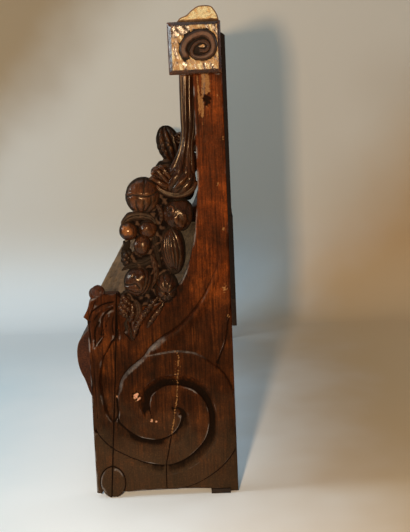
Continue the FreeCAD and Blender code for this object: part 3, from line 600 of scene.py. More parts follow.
def tube_shape(path, radius, around=14, flutes=None):
    """A round run along a path of (reach, height, across) places, closed at both ends."""
    p = np.array(path, float)
    n = len(p)
    r = np.broadcast_to(np.array(radius, float), (n,))
    tangent = np.gradient(p, axis=0)
    tangent /= np.linalg.norm(tangent, axis=1)[:, None]
    side = np.cross(tangent, np.array([0, 0, 1.0]))
    side /= np.linalg.norm(side, axis=1)[:, None]
    other = np.cross(tangent, side)
    turn = np.linspace(0, 2 * math.pi, around, endpoint=False)
    rows = []
    for i in range(n):
        size = r[i] * (flutes(turn, i / (n - 1)) if flutes else np.ones(around))
        rows.append(p[i] + (np.cos(turn) * size)[:, None] * side[i] + (np.sin(turn) * size)[:, None] * other[i])
    places = np.vstack(rows + [p[:1], p[-1:]])
    verts = np.column_stack([places[:, 2], REAR - places[:, 0], places[:, 1]])
    faces = []
    for k in range(n - 1):
        for i in range(around):
            j = (i + 1) % around
            a, b = k * around, (k + 1) * around
            faces.append((a + i, b + i, b + j, a + j))
    for i in range(around):
        j = (i + 1) % around
        faces.append((n * around, i, j))
        faces.append((n * around + 1, (n - 1) * around + j, (n - 1) * around + i))
    return verts, faces


def joined(shapes):
    """One shape from several."""
    verts, faces, start = [], [], 0
    for v, f in shapes:
        verts.append(v)
        faces += [tuple(i + start for i in face) for face in f]
        start += len(v)
    return np.vstack(verts), faces


def neighbour_mean(values, first, second, count):
    """The mean of each vertex's neighbours, from the two ends of every edge."""
    total = np.zeros_like(values)
    for column in range(values.shape[1]):
        total[:, column] = (np.bincount(first, values[second, column], len(values))
                            + np.bincount(second, values[first, column], len(values)))
    return total / count[:, None]


# Rounds of smoothing after which a vertex is compared with its neighbourhood
NEAR_ROUNDS, FAR_ROUNDS = 4, 13


def mark_wear_and_shade(mesh, marks=None):
    """Stores how far each vertex stands proud of its neighbourhood, how deep it lies (for dark wax with painted
    shade), and where wood is bare.
    """
    n = len(mesh.vertices)
    co = np.empty(n * 3)
    mesh.vertices.foreach_get("co", co)
    co = co.reshape(-1, 3) / MM
    normal = np.empty(n * 3)
    mesh.vertex_normals.foreach_get("vector", normal)
    normal = normal.reshape(-1, 3)
    edge = np.empty(len(mesh.edges) * 2, int)
    mesh.edges.foreach_get("vertices", edge)
    first, second = edge.reshape(-1, 2).T
    count = np.maximum(np.bincount(first, minlength=n) + np.bincount(second, minlength=n), 1)
    even, proud = co, {}
    for done in range(1, FAR_ROUNDS + 1):
        even = neighbour_mean(even, first, second, count)
        if done in (NEAR_ROUNDS, FAR_ROUNDS):
            proud[done] = ((co - even) * normal).sum(1)
    wear_and_highlight = np.clip((proud[NEAR_ROUNDS] - 0.18) / 0.8, 0, 1)
    # Deep places go dark: dark wax together with painted shade in hollows and creases
    wax_and_shade = np.clip((-proud[NEAR_ROUNDS] - 0.10) / 0.8, 0, 1) + np.clip((-proud[FAR_ROUNDS] - 0.5) / 3.0, 0, 0.6)
    bare_and_glare = np.zeros(n)
    if marks:
        wear_and_highlight, wax_and_shade, bare_and_glare = marks(co, wear_and_highlight, wax_and_shade)
    for name, values in (("wear_and_highlight", wear_and_highlight), ("wax_and_shade", np.clip(wax_and_shade, 0, 1)), ("bare_and_glare", bare_and_glare)):
        mesh.attributes.new(name, 'FLOAT', 'POINT').data.foreach_set("value", values)


def make_piece(name, shape, material, nodes, mirror=False, marks=None):
    """Turns a shape in millimetres into a finished piece of the bench."""
    verts, faces = shape
    verts = np.clip(verts * MM, CAD_BOX[0], CAD_BOX[1])
    if mirror:
        verts = verts * np.array([-1, 1, 1])
        faces = [tuple(reversed(f)) for f in faces]
    mesh = bpy.data.meshes.new(name)
    mesh.from_pydata(verts.tolist(), [], faces)
    work = bmesh.new()
    work.from_mesh(mesh)
    bmesh.ops.remove_doubles(work, verts=work.verts, dist=0.00001)
    bmesh.ops.recalc_face_normals(work, faces=work.faces)
    work.to_mesh(mesh)
    work.free()
    mesh.shade_smooth()
    mesh.update()
    mark_wear_and_shade(mesh, marks)
    mesh.materials.append(material)
    piece = bpy.data.objects.new(name, mesh)
    bpy.context.scene.collection.objects.link(piece)
    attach(piece, "root")
    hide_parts(*nodes)
    return piece


# Shapes grown by Geometry Nodes
def growth_tree(name, inputs):
    """An empty Geometry Nodes tree with its named inputs, and the sockets of its two ends."""
    tree = bpy.data.node_groups.new(name, 'GeometryNodeTree')
    tree.is_modifier = True
    tree.interface.new_socket("Geometry", in_out='INPUT', socket_type='NodeSocketGeometry')
    for label, kind, value in inputs:
        socket = tree.interface.new_socket(label, in_out='INPUT', socket_type=kind)
        if value is not None:
            socket.default_value = value
    tree.interface.new_socket("Geometry", in_out='OUTPUT', socket_type='NodeSocketGeometry')
    return tree, tree.nodes.new("NodeGroupInput").outputs, tree.nodes.new("NodeGroupOutput").inputs


def bead_tree():
    """A round bead on every place, each a little larger or smaller than the next."""
    t, given, out = growth_tree("Bench beads", [
        ("Bead radius", 'NodeSocketFloat', 0.004), ("Smallest", 'NodeSocketFloat', 0.75),
        ("Seed", 'NodeSocketInt', 3), ("Material", 'NodeSocketMaterial', None)])
    ball = add(t, "GeometryNodeMeshUVSphere", {"Segments": 12, "Rings": 8, "Radius": given["Bead radius"]})
    size = add(t, "FunctionNodeRandomValue", {2: given["Smallest"], 3: 1.15, "Seed": given["Seed"]},
               data_type='FLOAT')
    beads = add(t, "GeometryNodeInstanceOnPoints", {"Points": given["Geometry"], "Instance": ball.outputs[0],
                                                    "Scale": size.outputs[1]})
    real = add(t, "GeometryNodeRealizeInstances", {"Geometry": beads.outputs[0]})
    done = add(t, "GeometryNodeSetMaterial", {"Geometry": real.outputs[0], "Material": given["Material"]})
    t.links.new(done.outputs[0], out[0])
    return t


def pod_tree():
    """A lumpy, tapering body that follows a path."""
    t, given, out = growth_tree("Bench pods", [
        ("Thickness", 'NodeSocketFloat', 0.008), ("Lump length", 'NodeSocketFloat', 0.011),
        ("Lump depth", 'NodeSocketFloat', 0.2), ("Sides", 'NodeSocketInt', 22),
        ("Roughness", 'NodeSocketFloat', 0.001), ("Material", 'NodeSocketMaterial', None)])
    path = add(t, "GeometryNodeMeshToCurve", {"Mesh": given["Geometry"]}).outputs[0]
    path = add(t, "GeometryNodeResampleCurve", {"Curve": path, "Length": 0.0016}, mode='LENGTH').outputs[0]
    along = add(t, "GeometryNodeSplineParameter").outputs
    taper = sum_of(t, 'MULTIPLY', sum_of(t, 'MULTIPLY_ADD', along["Factor"], 0.93, 0.045), math.pi)
    taper = sum_of(t, 'POWER', sum_of(t, 'SINE', taper), 0.55)
    wave = sum_of(t, 'SINE', sum_of(t, 'DIVIDE', sum_of(t, 'MULTIPLY', along["Length"], 2 * math.pi),
                                    given["Lump length"]))
    lump = sum_of(t, 'ADD', sum_of(t, 'MULTIPLY', wave, given["Lump depth"]), 1.0)
    width = sum_of(t, 'MULTIPLY', sum_of(t, 'MULTIPLY', taper, lump), given["Thickness"])
    profile = add(t, "GeometryNodeCurvePrimitiveCircle", {"Resolution": given["Sides"], "Radius": 1.0})
    body = add(t, "GeometryNodeCurveToMesh", {"Curve": path, "Profile Curve": profile.outputs[0], "Scale": width,
                                              "Fill Caps": True}).outputs[0]
    grain = add(t, "ShaderNodeTexNoise", {"Scale": 95.0, "Detail": 1.0}).outputs["Color"]
    middle = add(t, "ShaderNodeVectorMath", {0: grain, 1: (0.5, 0.5, 0.5)}, operation='SUBTRACT').outputs[0]
    shift = add(t, "ShaderNodeVectorMath", {0: middle, "Scale": given["Roughness"]}, operation='SCALE').outputs[0]
    body = add(t, "GeometryNodeSetPosition", {"Geometry": body, "Offset": shift}).outputs[0]
    real = add(t, "GeometryNodeRealizeInstances", {"Geometry": body})
    done = add(t, "GeometryNodeSetMaterial", {"Geometry": real.outputs[0], "Material": given["Material"]})
    t.links.new(done.outputs[0], out[0])
    return t


def grown(build_tree, places, values, linked=False):
    """Runs a growth tree over (reach, height, across) places and gives back the plain shape."""
    if build_tree not in BUILT:
        BUILT[build_tree] = build_tree()
    tree = BUILT[build_tree]
    p = np.array(places, float)
    verts = np.column_stack([p[:, 2], REAR - p[:, 0], p[:, 1]]) * MM
    edges = [(i, i + 1) for i in range(len(p) - 1)] if linked else []
    mesh = bpy.data.meshes.new("wire")
    mesh.from_pydata(verts.tolist(), edges, [])
    holder = bpy.data.objects.new("wire", mesh)
    bpy.context.scene.collection.objects.link(holder)
    modifier = holder.modifiers.new("growth", 'NODES')
    modifier.node_group = tree
    for item in tree.interface.items_tree:
        if item.in_out == 'INPUT' and item.name in values:
            modifier[item.identifier] = values[item.name]
    context = bpy.context.evaluated_depsgraph_get()
    result = bpy.data.meshes.new_from_object(holder.evaluated_get(context))
    holder.modifiers.clear()
    if not result.polygons:
        raise RuntimeError("nothing grew on the wire")
    co = np.empty(len(result.vertices) * 3)
    result.vertices.foreach_get("co", co)
    faces = [tuple(f.vertices) for f in result.polygons]
    bpy.data.objects.remove(holder)
    bpy.data.meshes.remove(mesh)
    bpy.data.meshes.remove(result)
    return co.reshape(-1, 3) / MM, faces


# Finishes
def add(tree, kind, inputs=None, **settings):
    """A new node with its settings, and with each input linked to a socket or set to a value."""
    node = tree.nodes.new(kind)
    for name, value in settings.items():
        setattr(node, name, value)
    for name, value in (inputs or {}).items():
        if isinstance(value, bpy.types.NodeSocket):
            tree.links.new(value, node.inputs[name])
        else:
            node.inputs[name].default_value = value
    return node


def sum_of(tree, operation, *values):
    """One step of arithmetic on sockets or numbers."""
    return add(tree, "ShaderNodeMath", dict(enumerate(values)), operation=operation).outputs[0]


def blend_of(tree, factor, first, second, mode='MIX'):
    """A blend of two colours, each of them a socket or three numbers."""
    first, second = [value if isinstance(value, bpy.types.NodeSocket) else (*value[:3], 1)
                     for value in (first, second)]
    node = add(tree, "ShaderNodeMix", data_type='RGBA', blend_type=mode)
    for i, value in ((0, factor), (6, first), (7, second)):
        if isinstance(value, bpy.types.NodeSocket):
            tree.links.new(value, node.inputs[i])
        else:
            node.inputs[i].default_value = value
    return node.outputs[2]


def spread(tree, value, low, high, out_low=0.0, out_high=1.0):
    """Goes smoothly from one result at the low value to the other at the high one."""
    return add(tree, "ShaderNodeMapRange", {"Value": value, "From Min": low, "From Max": high, "To Min": out_low,
                                            "To Max": out_high}, interpolation_type='SMOOTHSTEP').outputs[0]


def gray(tree, value):
    """The same value in all three parts of a colour."""
    return add(tree, "ShaderNodeCombineColor", {"Red": value, "Green": value, "Blue": value}).outputs[0]


def noise(tree, vector, scale, detail=3.0, roughness=0.55, distortion=0.0):
    return add(tree, "ShaderNodeTexNoise", {"Vector": vector, "Scale": scale, "Detail": detail,
                                            "Roughness": roughness, "Distortion": distortion}).outputs[0]


def new_group(name, inputs, outputs):
    """An empty shader group with its named sockets, and the sockets of its two ends."""
    group = bpy.data.node_groups.new(name, 'ShaderNodeTree')
    for label, kind, value in inputs:
        socket = group.interface.new_socket(label, in_out='INPUT', socket_type=kind)
        if value is not None:
            socket.default_value = value
    for label, kind in outputs:
        group.interface.new_socket(label, in_out='OUTPUT', socket_type=kind)
    start = group.nodes.new("NodeGroupInput")
    end = group.nodes.new("NodeGroupOutput")
    return group, start.outputs, end.inputs


def grain_group():
    """Figure, fibres and pores of walnut. The vector is already drawn out along the grain."""
    t, given, out = new_group("Bench grain", [
        ("Along", 'NodeSocketVector', None), ("Place", 'NodeSocketVector', None),
        ("Dark", 'NodeSocketColor', (0.04, 0.02, 0.01, 1)), ("Middle", 'NodeSocketColor', (0.1, 0.05, 0.02, 1)),
        ("Light", 'NodeSocketColor', (0.2, 0.1, 0.05, 1)), ("Figure", 'NodeSocketFloat', 0.6),
    ], [("Color", 'NodeSocketColor'), ("Height", 'NodeSocketFloat')])
    figure = noise(t, given["Along"], 34.0, 4.0, 0.6, 0.8)
    fibre = noise(t, given["Along"], 210.0, 3.0, 0.65)
    pore = noise(t, given["Along"], 620.0, 2.0, 0.5)
    patch = noise(t, given["Place"], 9.0, 3.0, 0.55, 0.4)
    fine_patch = noise(t, given["Place"], 42.0, 3.0, 0.6)
    tone = sum_of(t, 'ADD', sum_of(t, 'MULTIPLY', figure, given["Figure"]), sum_of(t, 'MULTIPLY', patch, 1.2))
    tone = sum_of(t, 'ADD', tone, sum_of(t, 'MULTIPLY', fine_patch, 0.5))
    tone = sum_of(t, 'ADD', tone, sum_of(t, 'MULTIPLY', fibre, 0.35))
    color = blend_of(t, spread(t, tone, 0.95, 1.35), given["Dark"], given["Middle"])
    color = blend_of(t, spread(t, tone, 1.28, 1.72), color, given["Light"])
    color = blend_of(t, 0.75, color, gray(t, spread(t, fibre, 0.36, 0.58, 0.42, 1.0)), 'MULTIPLY')
    hole = spread(t, pore, 0.30, 0.40)
    color = blend_of(t, 0.35, color, gray(t, hole), 'MULTIPLY')
    height = sum_of(t, 'ADD', sum_of(t, 'MULTIPLY', fibre, 0.6), sum_of(t, 'MULTIPLY', hole, 0.25))
    t.links.new(color, out["Color"])
    t.links.new(height, out["Height"])
    return t


def age_group():
    """Worn edges with painted highlight, dark wax with painted shade in the hollows, spots, bare places with
    painted glare, and a change of tone with height (at the foot partly a painted sheen of the floor).
    """
    t, given, out = new_group("Bench age", [
        ("Color", 'NodeSocketColor', (0.1, 0.05, 0.02, 1)), ("Place", 'NodeSocketVector', None),
        ("Rubbed and lit", 'NodeSocketColor', (0.4, 0.2, 0.1, 1)), ("Wax and shade", 'NodeSocketColor', (0.005, 0.0028, 0.0018, 1)),
        ("Bare and glare", 'NodeSocketColor', (0.55, 0.27, 0.18, 1)), ("Filler", 'NodeSocketColor', (0.24, 0.115, 0.042, 1)),
        ("Rub and highlight", 'NodeSocketFloat', 0.7), ("Gloss", 'NodeSocketFloat', 0.36), ("Spots", 'NodeSocketFloat', 0.5),
        ("Foot", 'NodeSocketColor', (0.052, 0.033, 0.018, 1)), ("Foot share", 'NodeSocketFloat', 0.0),
        ("Warm", 'NodeSocketFloat', 0.0),
    ], [("Color", 'NodeSocketColor'), ("Roughness", 'NodeSocketFloat')])
    wear_and_highlight, wax_and_shade, bare_and_glare = [add(t, "ShaderNodeAttribute", attribute_name=name).outputs["Fac"]
                         for name in ("wear_and_highlight", "wax_and_shade", "bare_and_glare")]
    height = add(t, "ShaderNodeSeparateXYZ", {"Vector": given["Place"]}).outputs[2]
    rough = noise(t, given["Place"], 85.0, 4.0, 0.65)
    broad = noise(t, given["Place"], 11.0, 3.0, 0.55)
    speck = noise(t, given["Place"], 330.0, 3.0, 0.6)
    uneven_height = sum_of(t, 'ADD', height, sum_of(t, 'MULTIPLY', sum_of(t, 'SUBTRACT', broad, 0.5), 0.35))
    warm = sum_of(t, 'MULTIPLY', spread(t, uneven_height, 0.38, 0.78), given["Warm"])
    color = blend_of(t, warm, given["Color"], blend_of(t, 1.0, given["Color"], (2.6, 2.0, 1.5), 'MULTIPLY'))
    # Greyish towards the foot: dust, with a painted sheen reflected from the floor
    foot = sum_of(t, 'MULTIPLY', spread(t, uneven_height, 0.06, 0.30, 1.0, 0.0), given["Foot share"])
    color = blend_of(t, foot, color, given["Foot"])
    # Paler where worn: real rubbing, together with the painted highlights and painted reflection that the marks add
    rub_and_highlight = sum_of(t, 'MULTIPLY', wear_and_highlight, sum_of(t, 'ADD', sum_of(t, 'MULTIPLY', rough, 1.3), 0.1))
    rub_and_highlight = sum_of(t, 'MULTIPLY', spread(t, rub_and_highlight, 0.16, 0.85), given["Rub and highlight"])
    color = blend_of(t, rub_and_highlight, color, given["Rubbed and lit"])
    # Towards the dark wax colour: dark wax, with painted shade in hollows, creases and the marked places
    dirt_and_shade = sum_of(t, 'MULTIPLY', wax_and_shade, sum_of(t, 'ADD', sum_of(t, 'MULTIPLY', broad, 0.5), 0.85))
    dirt_and_shade = spread(t, dirt_and_shade, 0.03, 0.85, 0.0, 0.93)
    color = blend_of(t, dirt_and_shade, color, given["Wax and shade"])
    stain = sum_of(t, 'MULTIPLY', spread(t, speck, 0.60, 0.72), given["Spots"])
    color = blend_of(t, stain, color, given["Wax and shade"])
    fleck = sum_of(t, 'MULTIPLY', spread(t, noise(t, given["Place"], 230.0, 2.0, 0.5), 0.50, 0.66), given["Spots"])
    color = blend_of(t, sum_of(t, 'MULTIPLY', fleck, 0.45), color,
                     blend_of(t, 1.0, color, (2.2, 1.9, 1.6), 'MULTIPLY'))
    # Bare wood and filler, and the pale gold painted as glare on the capitals, the crest and the post's top
    bare_glare_edge = sum_of(t, 'ADD', bare_and_glare, sum_of(t, 'MULTIPLY', sum_of(t, 'SUBTRACT', rough, 0.5), 1.1))
    bare_glare_mask = sum_of(t, 'MULTIPLY', spread(t, bare_glare_edge, 0.40, 0.60), spread(t, bare_and_glare, 0.02, 0.2))
    tint = blend_of(t, spread(t, bare_and_glare, 0.68, 0.9), given["Filler"], given["Bare and glare"])
    tint = blend_of(t, spread(t, speck, 0.42, 0.62, 0.0, 0.5), tint, color)
    color = blend_of(t, bare_glare_mask, color, tint)
    gloss = sum_of(t, 'ADD', given["Gloss"], sum_of(t, 'MULTIPLY', sum_of(t, 'SUBTRACT', rough, 0.5), 0.4))
    gloss = sum_of(t, 'ADD', gloss, sum_of(t, 'MULTIPLY', dirt_and_shade, 0.75))
    gloss = sum_of(t, 'SUBTRACT', gloss, sum_of(t, 'MULTIPLY', rub_and_highlight, 0.06))
    gloss = sum_of(t, 'ADD', gloss, sum_of(t, 'MULTIPLY', bare_glare_mask, 0.32))
    t.links.new(color, out["Color"])
    t.links.new(gloss, out["Roughness"])
    return t


# Pale gold painted as glare on the capitals' faces and the crest's ends
GLARE_GOLD = (0.62, 0.52, 0.30)
WOODS = {
    # The ends' rubbed colour is grey: a painted reflection of the floor and window on rubbed edges and bevels
    "end_wood": dict(dark=(0.0066, 0.0020, 0.0008), middle=(0.026, 0.0067, 0.0017), light=(0.088, 0.0230, 0.0044),
                     rubbed=(0.172, 0.152, 0.138), rub_and_highlight=0.6, gloss=0.55, shine=0.055, bump=0.6, along='Z', foot=0.50,
                     warm=1.0, spots=0.8, tint=(1.0, 0.76, 0.52)),
    "capital_wood": dict(dark=(0.013, 0.0042, 0.0020), middle=(0.034, 0.0115, 0.0042), light=(0.085, 0.030, 0.0095),
                         rubbed=(0.28, 0.108, 0.052), bare_and_glare=GLARE_GOLD, filler=(0.36, 0.19, 0.07), rub_and_highlight=0.5, gloss=0.25,
                         shine=0.42, bump=0.4, along='Z', spots=0.9, tint=(1.0, 0.86, 0.74)),
    "fruit_wood": dict(dark=(0.0085, 0.0030, 0.0014), middle=(0.026, 0.0084, 0.0032), light=(0.068, 0.021, 0.0062),
                       rubbed=(0.25, 0.085, 0.023), rub_and_highlight=0.75, gloss=0.23, shine=0.26, bump=0.3, along='Z',
                       spots=0.8, tint=(1.0, 0.76, 0.52)),
    "bed_wood": dict(dark=(0.0050, 0.0022, 0.0013), middle=(0.012, 0.0048, 0.0025), light=(0.028, 0.0105, 0.0048),
                     rubbed=(0.12, 0.060, 0.030), rub_and_highlight=0.5, gloss=0.5, shine=0.05, bump=0.3, along='Z'),
    "rail_wood": dict(dark=(0.018, 0.0068, 0.0030), middle=(0.050, 0.017, 0.0065), light=(0.11, 0.040, 0.014),
                      rubbed=(0.28, 0.16, 0.075), bare_and_glare=GLARE_GOLD, filler=(0.50, 0.30, 0.12), rub_and_highlight=0.35, gloss=0.44,
                      shine=0.2, bump=0.35, along='X', spots=0.6),
    "apron_wood": dict(dark=(0.013, 0.0036, 0.0015), middle=(0.032, 0.0090, 0.0035), light=(0.064, 0.0190, 0.0070),
                       rubbed=(0.20, 0.10, 0.05), rub_and_highlight=0.28, gloss=0.5, shine=0.08, bump=0.35, along='X'),
    "seat_wood": dict(dark=(0.105, 0.046, 0.0165), middle=(0.195, 0.096, 0.037), light=(0.30, 0.163, 0.066),
                      rubbed=(0.30, 0.19, 0.09), rub_and_highlight=0.4, gloss=0.52, shine=0.12, bump=0.3, along='X'),
    # The back's boards are darkened past their own tone: painted shade at the bench's rear
    "back_wood": dict(dark=(0.010, 0.0055, 0.0034), middle=(0.025, 0.0140, 0.0080), light=(0.052, 0.030, 0.017),
                      rubbed=(0.09, 0.055, 0.032), rub_and_highlight=0.2, gloss=0.62, shine=0.16, bump=0.5, along='X'),
    # The strip is darkened too: painted shade at the rear
    "strip_wood": dict(dark=(0.050, 0.023, 0.012), middle=(0.095, 0.048, 0.024), light=(0.16, 0.088, 0.048),
                       rubbed=(0.20, 0.12, 0.07), rub_and_highlight=0.3, gloss=0.62, shine=0.16, bump=0.5, along='X'),
    "under_wood": dict(dark=(0.060, 0.033, 0.018), middle=(0.12, 0.070, 0.038), light=(0.20, 0.125, 0.072),
                       rubbed=(0.25, 0.17, 0.10), rub_and_highlight=0.3, gloss=0.68, shine=0.16, bump=0.5, along='X'),
}
WOODS["upright_wood"] = dict(WOODS["under_wood"], along='Y')
DRAWN_OUT = {'X': (0.045, 1, 1), 'Y': (1, 0.045, 1), 'Z': (1, 1, 0.045)}
BUILT = {}


def new_material(name):
    """A material with an empty tree, and the object's own coordinates in it."""
    material = bpy.data.materials.new(name)
    material.use_nodes = True
    tree = material.node_tree
    tree.nodes.clear()
    return material, tree, add(tree, "ShaderNodeTexCoord").outputs["Object"]


def wood(name):
    """A waxed wood: grain under age, over one plain shader."""
    if name in BUILT:
        return BUILT[name]
    if "grain" not in BUILT:
        BUILT["grain"] = grain_group()
        BUILT["age"] = age_group()
    w = WOODS[name]
    material, t, place = new_material(name)
    along = add(t, "ShaderNodeMapping", {"Vector": place, "Scale": DRAWN_OUT[w["along"]]}).outputs[0]
    grain = add(t, "ShaderNodeGroup", node_tree=BUILT["grain"])
    age = add(t, "ShaderNodeGroup", node_tree=BUILT["age"])
    for label, key in (("Dark", "dark"), ("Middle", "middle"), ("Light", "light")):
        grain.inputs[label].default_value = (*w[key], 1)
    settings = bpy.context.scene.bench_carving
    for label, key in (("Rubbed and lit", "rubbed"), ("Bare and glare", "bare_and_glare"), ("Filler", "filler")):
        if key in w:
            age.inputs[label].default_value = (*w[key], 1)
    for label, value in (("Rub and highlight", w["rub_and_highlight"] * settings.edge_rub_and_highlight), ("Gloss", w["gloss"] + settings.dullness),
                         ("Spots", w.get("spots", 0.5)), ("Foot share", w.get("foot", 0.0)),
                         ("Warm", w.get("warm", 0.0))):
        age.inputs[label].default_value = value
    t.links.new(along, grain.inputs["Along"])
    t.links.new(place, grain.inputs["Place"])
    t.links.new(place, age.inputs["Place"])
    t.links.new(grain.outputs["Color"], age.inputs["Color"])
    bump = add(t, "ShaderNodeBump", {"Height": grain.outputs["Height"], "Strength": w["bump"], "Distance": 0.0012})
    shader = add(t, "ShaderNodeBsdfPrincipled", {
        "Base Color": age.outputs["Color"], "Roughness": age.outputs["Roughness"], "Normal": bump.outputs[0],
        "Specular IOR Level": w["shine"], "Specular Tint": (*w.get("tint", (1.0, 1.0, 1.0)), 1),
    })
    add(t, "ShaderNodeOutputMaterial", {"Surface": shader.outputs[0]})
    BUILT[name] = material
    return material


def iron():
    """Dark wrought iron with rust in patches."""
    if "iron" in BUILT:
        return BUILT["iron"]
    material, t, place = new_material("nail_iron")
    patch = noise(t, place, 240.0, 4.0, 0.65)
    fine = noise(t, place, 900.0, 3.0, 0.6)
    color = blend_of(t, spread(t, patch, 0.42, 0.62), (0.035, 0.032, 0.030), (0.12, 0.05, 0.022))
    shader = add(t, "ShaderNodeBsdfPrincipled", {
        "Base Color": color, "Roughness": spread(t, patch, 0.3, 0.7, 0.45, 0.8),
        "Metallic": spread(t, patch, 0.45, 0.6, 0.8, 0.1),
        "Normal": add(t, "ShaderNodeBump", {"Height": fine, "Strength": 0.5, "Distance": 0.0006}).outputs[0],
    })
    add(t, "ShaderNodeOutputMaterial", {"Surface": shader.outputs[0]})
    BUILT["iron"] = material
    return material


# Shapes of the ends
def oval(reach, height, half_r, half_z, start, end, count=60):
    """Places along an oval, between two turns in degrees."""
    turn = np.linspace(math.radians(start), math.radians(end), count)
    return np.column_stack([reach + half_r * np.cos(turn), height + half_z * np.sin(turn)])


def about(middle, places):
    """The places in the order of their turn about the middle."""
    turn = np.degrees(np.arctan2(places[:, 1] - middle[1], places[:, 0] - middle[0])) % 360
    return places[np.argsort(turn)]


def plank_outlines():
    """The two boards of an end, each with its half of the roundel."""
    whole = oval(*ROUNDEL, 0, 360, 241)[:-1]
    whole = whole[whole[:, 1] > 0.3]
    behind = about(ROUNDEL, whole[whole[:, 0] < joint_at(whole[:, 1]) - 0.3])
    behind = behind[behind[:, 1] < 14]
    arch_start = behind[0]
    main = np.vstack([
        straight([(0, 4), (0, POST_TOP), (POST_REACH, POST_TOP), SWEEP[0]], 3.5)[:-1],
        flow(SWEEP, 3.0)[:-1],
        straight([JOINT_TOP, (joint_at(0.4), 0.4)], 3.0)[:-1],
        behind[::-1],
        flow([(arch_start[0] - 1.5, arch_start[1] + 0.3), (276, 13.9), (250, 15), (215, 15.8), (180, 16),
              (130, 15.5), (96, 14.4), (71, 13)], 3.0)[:-1],
        straight([(71, 13), (70, 12), (20, 12), (20, 4), (0, 4)], 3.0)[:-1],
    ])
    ahead = about(ROUNDEL, whole[(whole[:, 0] > joint_at(whole[:, 1]) + 0.3) & (whole[:, 1] < 22)])
    ahead = ahead[ahead[:, 0] < 365]
    front = np.vstack([
        straight([(joint_at(0.4), 0.4), JOINT_TOP, (322, 537), (354, 524)], 3.0)[:-1],
        flow([(354, 524), (359.5, 504), (366, 491), (372, 481)], 2.0)[:-1],
        straight([(372, 481), (363, 473)], 2.0)[:-1],
        straight([(363, 473), (366, 13)], 3.5),
        [(360, 12), (354, 10)],
        ahead[ahead[:, 0] < 350][::-1],
    ])
    return main, front


def plank_shapes(edge, spacing):
    """The two carved planks of an end."""
    main, front = plank_outlines()
    seam = straight([JOINT_TOP, JOINT_FOOT])

    def edge_width(p):
        return np.where(nearest(p, seam)[0] < 4, 0.7, edge)

    roundel = oval(*ROUNDEL, 0, 360, 90)
    main_runs = [LONG_RIM_RUN, RIM_FOOT_RUN, LEAF_REAR_RUN, ARCH_RUN, LOW_ARCH_RUN[8:], REAR_CONTOUR_RUN,
                 FRONT_WALL_RUN, FRONT_LIP_RUN[:-30], REAR_WALL_RUN, REAR_LIP_RUN, CRACK_RUN, roundel,
                 flow(RELIEF_LEAF + RELIEF_LEAF[:1])]
    front_runs = [LEAF_REAR_RUN, roundel, FRONT_WALL_RUN]
    front_runs += [flow(points) for points, _, _ in LEAF_GROOVES + LEAF_RIDGES]
    return [board_shape(outline, INNER, HALF, end_relief, edge=edge, edge_width=edge_width, rows=5.0,
                        features=features, spacing=spacing, fine=1.25, band=3.8, seed=seed)
            for outline, features, seed in ((main, main_runs, 11), (front, front_runs, 12))]


def curl_gap(p):
    """How far each place lies outside the rope curl, the rope's rounded height, and where its loop is hollow."""
    gap, _, along = nearest(p, CURL_RUN)
    share = along / along.max()
    radius = 9.4 - 4.6 * ease(share, 0.36, 0.78)
    high = (8.0 - 2.4 * ease(share, 0.5, 0.9)) * round_over(1.3 * (1 - gap / radius))
    hollow = inside(p, flow(CURL[:13])) * ease(gap - radius, 0, 1.5)
    return gap - radius, high, hollow


def capital_relief(p):
    """Bevelled border and rope curl of a capital, 0 at the flat of its face."""
    r, z = p[:, 0], p[:, 1]
    inset = np.min([r / BEVEL_REAR, (CAPITAL_REACH - r) / BEVEL_FRONT, (z - POST_TOP) / BEVEL_LOW,
                    (CAPITAL_TOP - z) / BEVEL_HIGH], axis=0)
    h = -9.0 * (1 - np.clip(inset, 0, 1) ** 0.9) + 0.4 * np.exp(-((inset - 1.06) / 0.09) ** 2)
    gap, high, hollow = curl_gap(p)
    h = np.where(gap < 0, np.maximum(h, 0) + high, h - 1.1 * np.exp(-(gap / 2.2) ** 2) - 2.2 * hollow)
    return h + 0.35 * ripple(p, 20, 31) * ease(inset, 1.0, 1.4) + 0.12 * ripple(p, 6, 32)


def capital_marks(co, wear_and_highlight, wax_and_shade):
    """Pale gold painted as glare on the flat of the face, none on the curl and the border; painted shade around the
    curl and in its loop.
    """
    p = np.column_stack([REAR - co[:, 1], co[:, 2]])
    gap, _, hollow = curl_gap(p)
    flat = (np.abs(co[:, 0]) > HALF + 8) & (p[:, 0] > 8) & (p[:, 0] < 117) & (p[:, 1] > 1077.5) & (p[:, 1] < 1181)
    brown = ease(np.hypot((p[:, 0] - 112) / 42, (p[:, 1] - 1176) / 22), 1.3, 0.4)
    # worn holds the pale gold patches painted as glare on the face
    worn = 0.60 + 0.30 * ripple(p * np.array([1, 0.4]), 19, 33) + 0.20 * ripple(p * np.array([1, 0.3]), 6, 34)
    eye = ease(np.hypot((p[:, 0] - 45.6) / 10, (p[:, 1] - 1131.5) / 5.5), 1.1, 0.6)
    worn = np.clip(worn - 0.5 * brown, 0, 1) * flat * ease(gap, 0.3, 1.8) * (1 - hollow * (1 - 0.8 * eye))
    # Painted shade around the rope and inside its loop
    dark = np.maximum(0.8 * ease(gap, 2.4, 0.2) * ease(gap, -1.6, 0), hollow * (1 - eye))
    # The rope is paler along its ridge and darker at its sides: painted highlight and painted shade
    rope = ease(gap, -1.0, -4.0)
    ridge = ease(gap, -2.5, -6.5)
    wear_and_highlight = np.maximum(wear_and_highlight * 0.6, rope * (0.42 + 0.5 * ridge))
    return wear_and_highlight, np.maximum(wax_and_shade * (1 - rope) + rope * (0.62 - 0.2 * ridge), dark * flat), worn


def fold_lines(lobes, depth, sharp=1.6, shift=0.0):
    """Rounded folds with narrow valleys between them."""
    def form(turn, rise):
        valley = (1 - np.abs(np.sin(lobes * turn / 2 + shift))) ** sharp
        return 1 - depth * valley * np.sin(rise) ** 0.6
    return form


